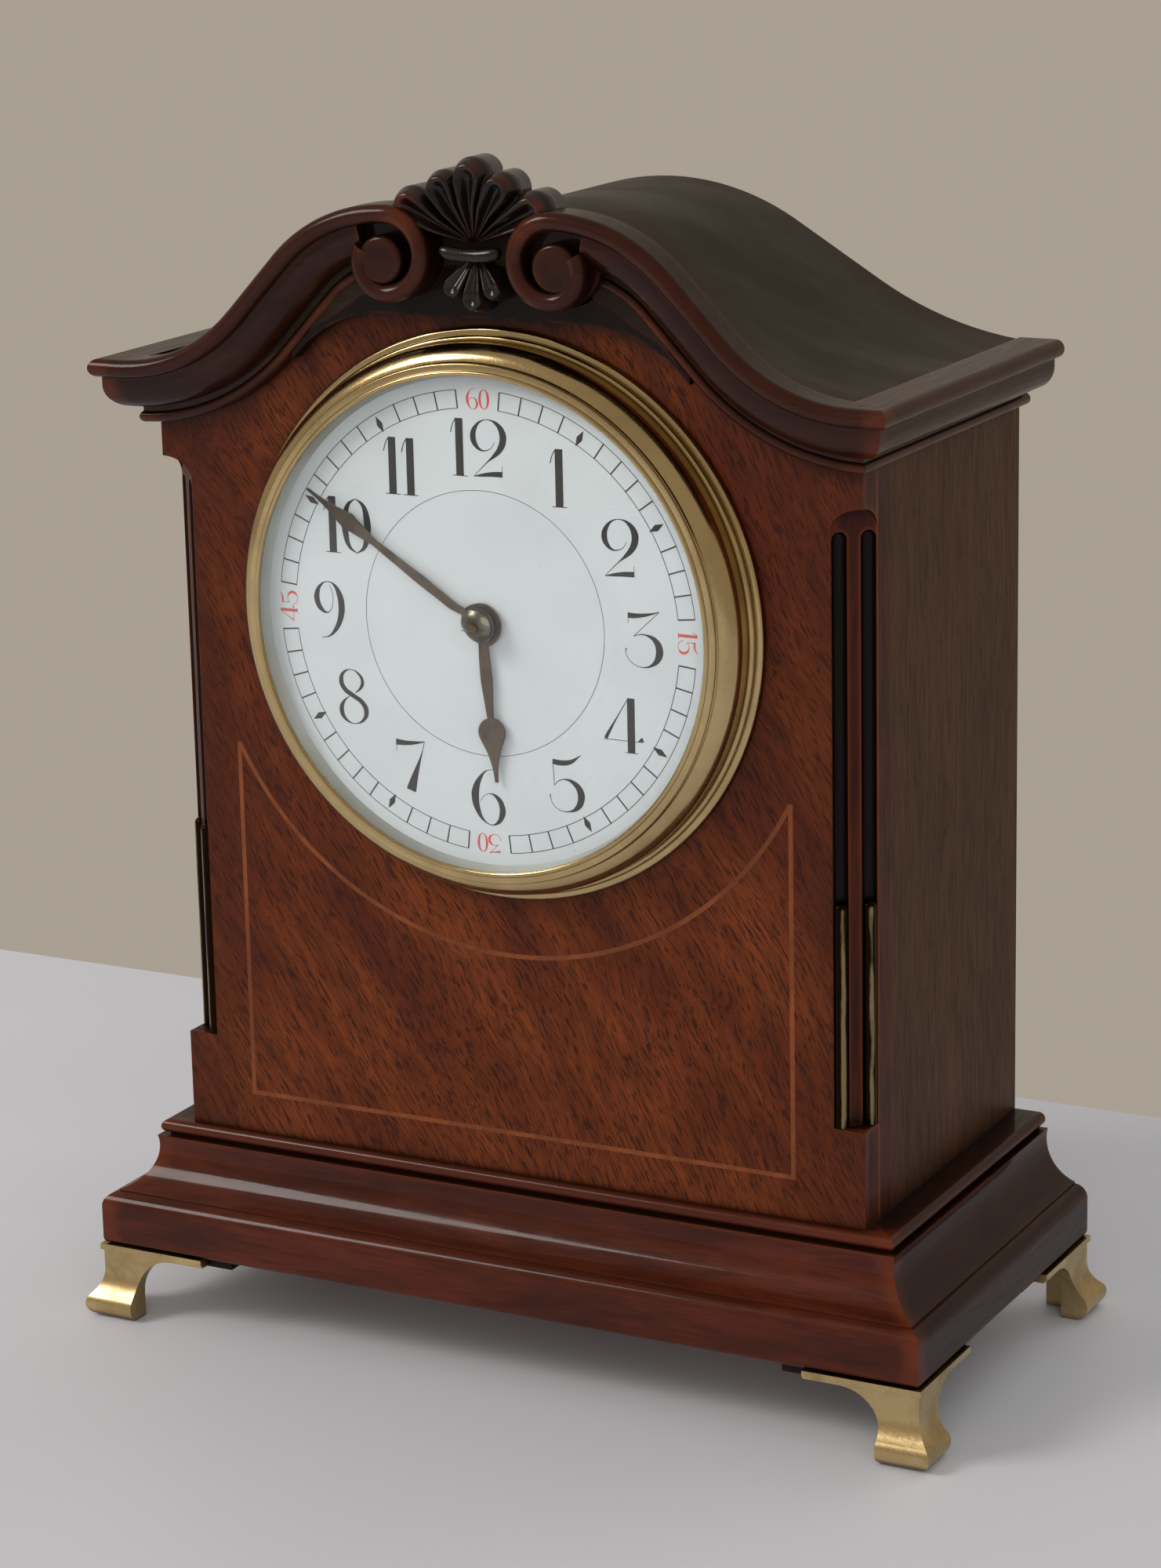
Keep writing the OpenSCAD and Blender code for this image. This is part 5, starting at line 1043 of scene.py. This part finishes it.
def lay_floor(stage):
    """A wide plain floor under the feet."""
    shape = bmesh.new()
    bmesh.ops.create_grid(shape, x_segments=1, y_segments=1, size=FLOOR_HALF)
    bmesh.ops.translate(shape, verts=shape.verts,
                        vec=(0, FLOOR_BACK - FLOOR_HALF, CAD_BOX[0][2] - FLOOR_GAP))
    mesh = bpy.data.meshes.new("floor")
    shape.to_mesh(mesh)
    shape.free()
    finish = Finish("plain_floor", rough=0.5)
    cloud = finish.noise(finish.place, 9.0, 3.0, 0.5)
    tone = Vector(stage.floor)
    body = finish.tint(tone, tone * 0.96, cloud, 0.3, 0.7)
    mesh.materials.append(finish.done(body, finish.span(cloud, 0.3, 0.7, 0.42, 0.55)))
    floor = bpy.data.objects.new("floor", mesh)
    bpy.context.scene.collection.objects.link(floor)


def light_room(stage):
    """Soft light from all round, and a plain backdrop for the camera, in reflections and through glass."""
    world = bpy.data.worlds.new("studio")
    bpy.context.scene.world = world
    world.use_nodes = True
    air = Wiring(world.node_tree)
    soft = air.tree.nodes["Background"]
    soft.inputs["Color"].default_value = (0.96, 0.98, 1.0, 1.0)
    soft.inputs["Strength"].default_value = 0.42
    plain = air.node("ShaderNodeBackground", {"Color": (*stage.backdrop, 1.0)})
    path = air.node("ShaderNodeLightPath").outputs
    through = air.sum("MAXIMUM", path["Is Glossy Ray"], path["Is Transmission Ray"])
    seen = air.sum("MAXIMUM", path["Is Camera Ray"], through)
    mixed = air.node("ShaderNodeMixShader", {0: seen, 1: soft.outputs[0], 2: plain.outputs[0]})
    air.feed(air.tree.nodes["World Output"].inputs["Surface"], mixed.outputs[0])


def hang_lamps(stage):
    """Three large soft lamps: power, size, place and colour. Only the key lamp shows in reflections."""
    lamps = (
        ("key_lamp", stage.key, 0.55, (-0.95, -0.85, 1.05), (1.0, 0.97, 0.93)),
        ("fill_lamp", stage.fill, 1.1, (0.75, -1.25, 0.55), (1.0, 0.97, 0.94)),
        ("rim_lamp", stage.rim, 0.8, (0.35, 0.95, 0.95), (1.0, 0.98, 0.95)),
    )
    aim = Vector((0, 0, 0.11))
    for name, power, size, spot, colour in lamps:
        light = bpy.data.lights.new(name, "AREA")
        light.energy = power
        light.size = size
        light.color = colour
        lamp = bpy.data.objects.new(name, light)
        lamp.location = spot
        lamp.rotation_euler = (aim - Vector(spot)).to_track_quat("-Z", "Y").to_euler()
        lamp.visible_glossy = name == "key_lamp"
        bpy.context.scene.collection.objects.link(lamp)


def place_camera(stage):
    """Camera a little above the clock and to its right, turned slightly on its lens."""
    spot = Vector((0.3528, -0.6675, 0.3087))
    target = Vector((0.01537, -0.0302, 0.11518))
    roll = -0.022
    ahead = (target - spot).normalized()
    right = ahead.cross(Vector((0, 0, 1))).normalized()
    above = right.cross(ahead)
    tilted_right = math.cos(roll) * right + math.sin(roll) * above
    tilted_above = -math.sin(roll) * right + math.cos(roll) * above
    turned = Matrix((tilted_right, tilted_above, -ahead)).transposed().to_4x4()
    camera = bpy.data.objects.new("camera", bpy.data.cameras.new("camera"))
    camera.data.lens = stage.lens
    camera.data.sensor_width = 36.0
    camera.data.clip_start = 0.01
    camera.matrix_world = Matrix.Translation(spot) @ turned
    bpy.context.scene.collection.objects.link(camera)
    bpy.context.scene.camera = camera


class CLOCK_PT_workbench(bpy.types.Panel):
    """Buttons and settings of the clock"""

    bl_idname = "CLOCK_PT_workbench"
    bl_label = "Mantel Clock"
    bl_space_type = "VIEW_3D"
    bl_region_type = "UI"
    bl_category = "Clock"

    def draw(self, context):
        column = self.layout.column(align=True)
        for step in STEPS:
            column.operator(step.bl_idname)
        for group in settings():
            box = self.layout.box()
            for name in group.__annotations__:
                box.prop(group, name)


STEPS = (
    CLOCK_OT_polish_woods,
    CLOCK_OT_carve_crest,
    CLOCK_OT_finish_metals,
    CLOCK_OT_fit_dial_and_glass,
    CLOCK_OT_print_numerals,
    CLOCK_OT_print_quarters,
    CLOCK_OT_print_track,
    CLOCK_OT_set_stage,
)
GROUPS = {
    "clock_dial": ClockDialSettings,
    "clock_finish": ClockFinishSettings,
    "clock_stage": ClockStageSettings,
}


def register():
    for kind in (*GROUPS.values(), *STEPS, CLOCK_PT_workbench):
        bpy.utils.register_class(kind)
    for name, kind in GROUPS.items():
        setattr(bpy.types.Scene, name, bpy.props.PointerProperty(type=kind))


def unregister():
    for name in GROUPS:
        delattr(bpy.types.Scene, name)
    for kind in reversed((*GROUPS.values(), *STEPS, CLOCK_PT_workbench)):
        bpy.utils.unregister_class(kind)


def main():
    register()
    for step in STEPS:
        group, name = step.bl_idname.split(".")
        if getattr(getattr(bpy.ops, group), name)() != {"FINISHED"}:
            raise RuntimeError(f"{step.bl_label} didn't finish")


if __name__ == "__main__":
    main()
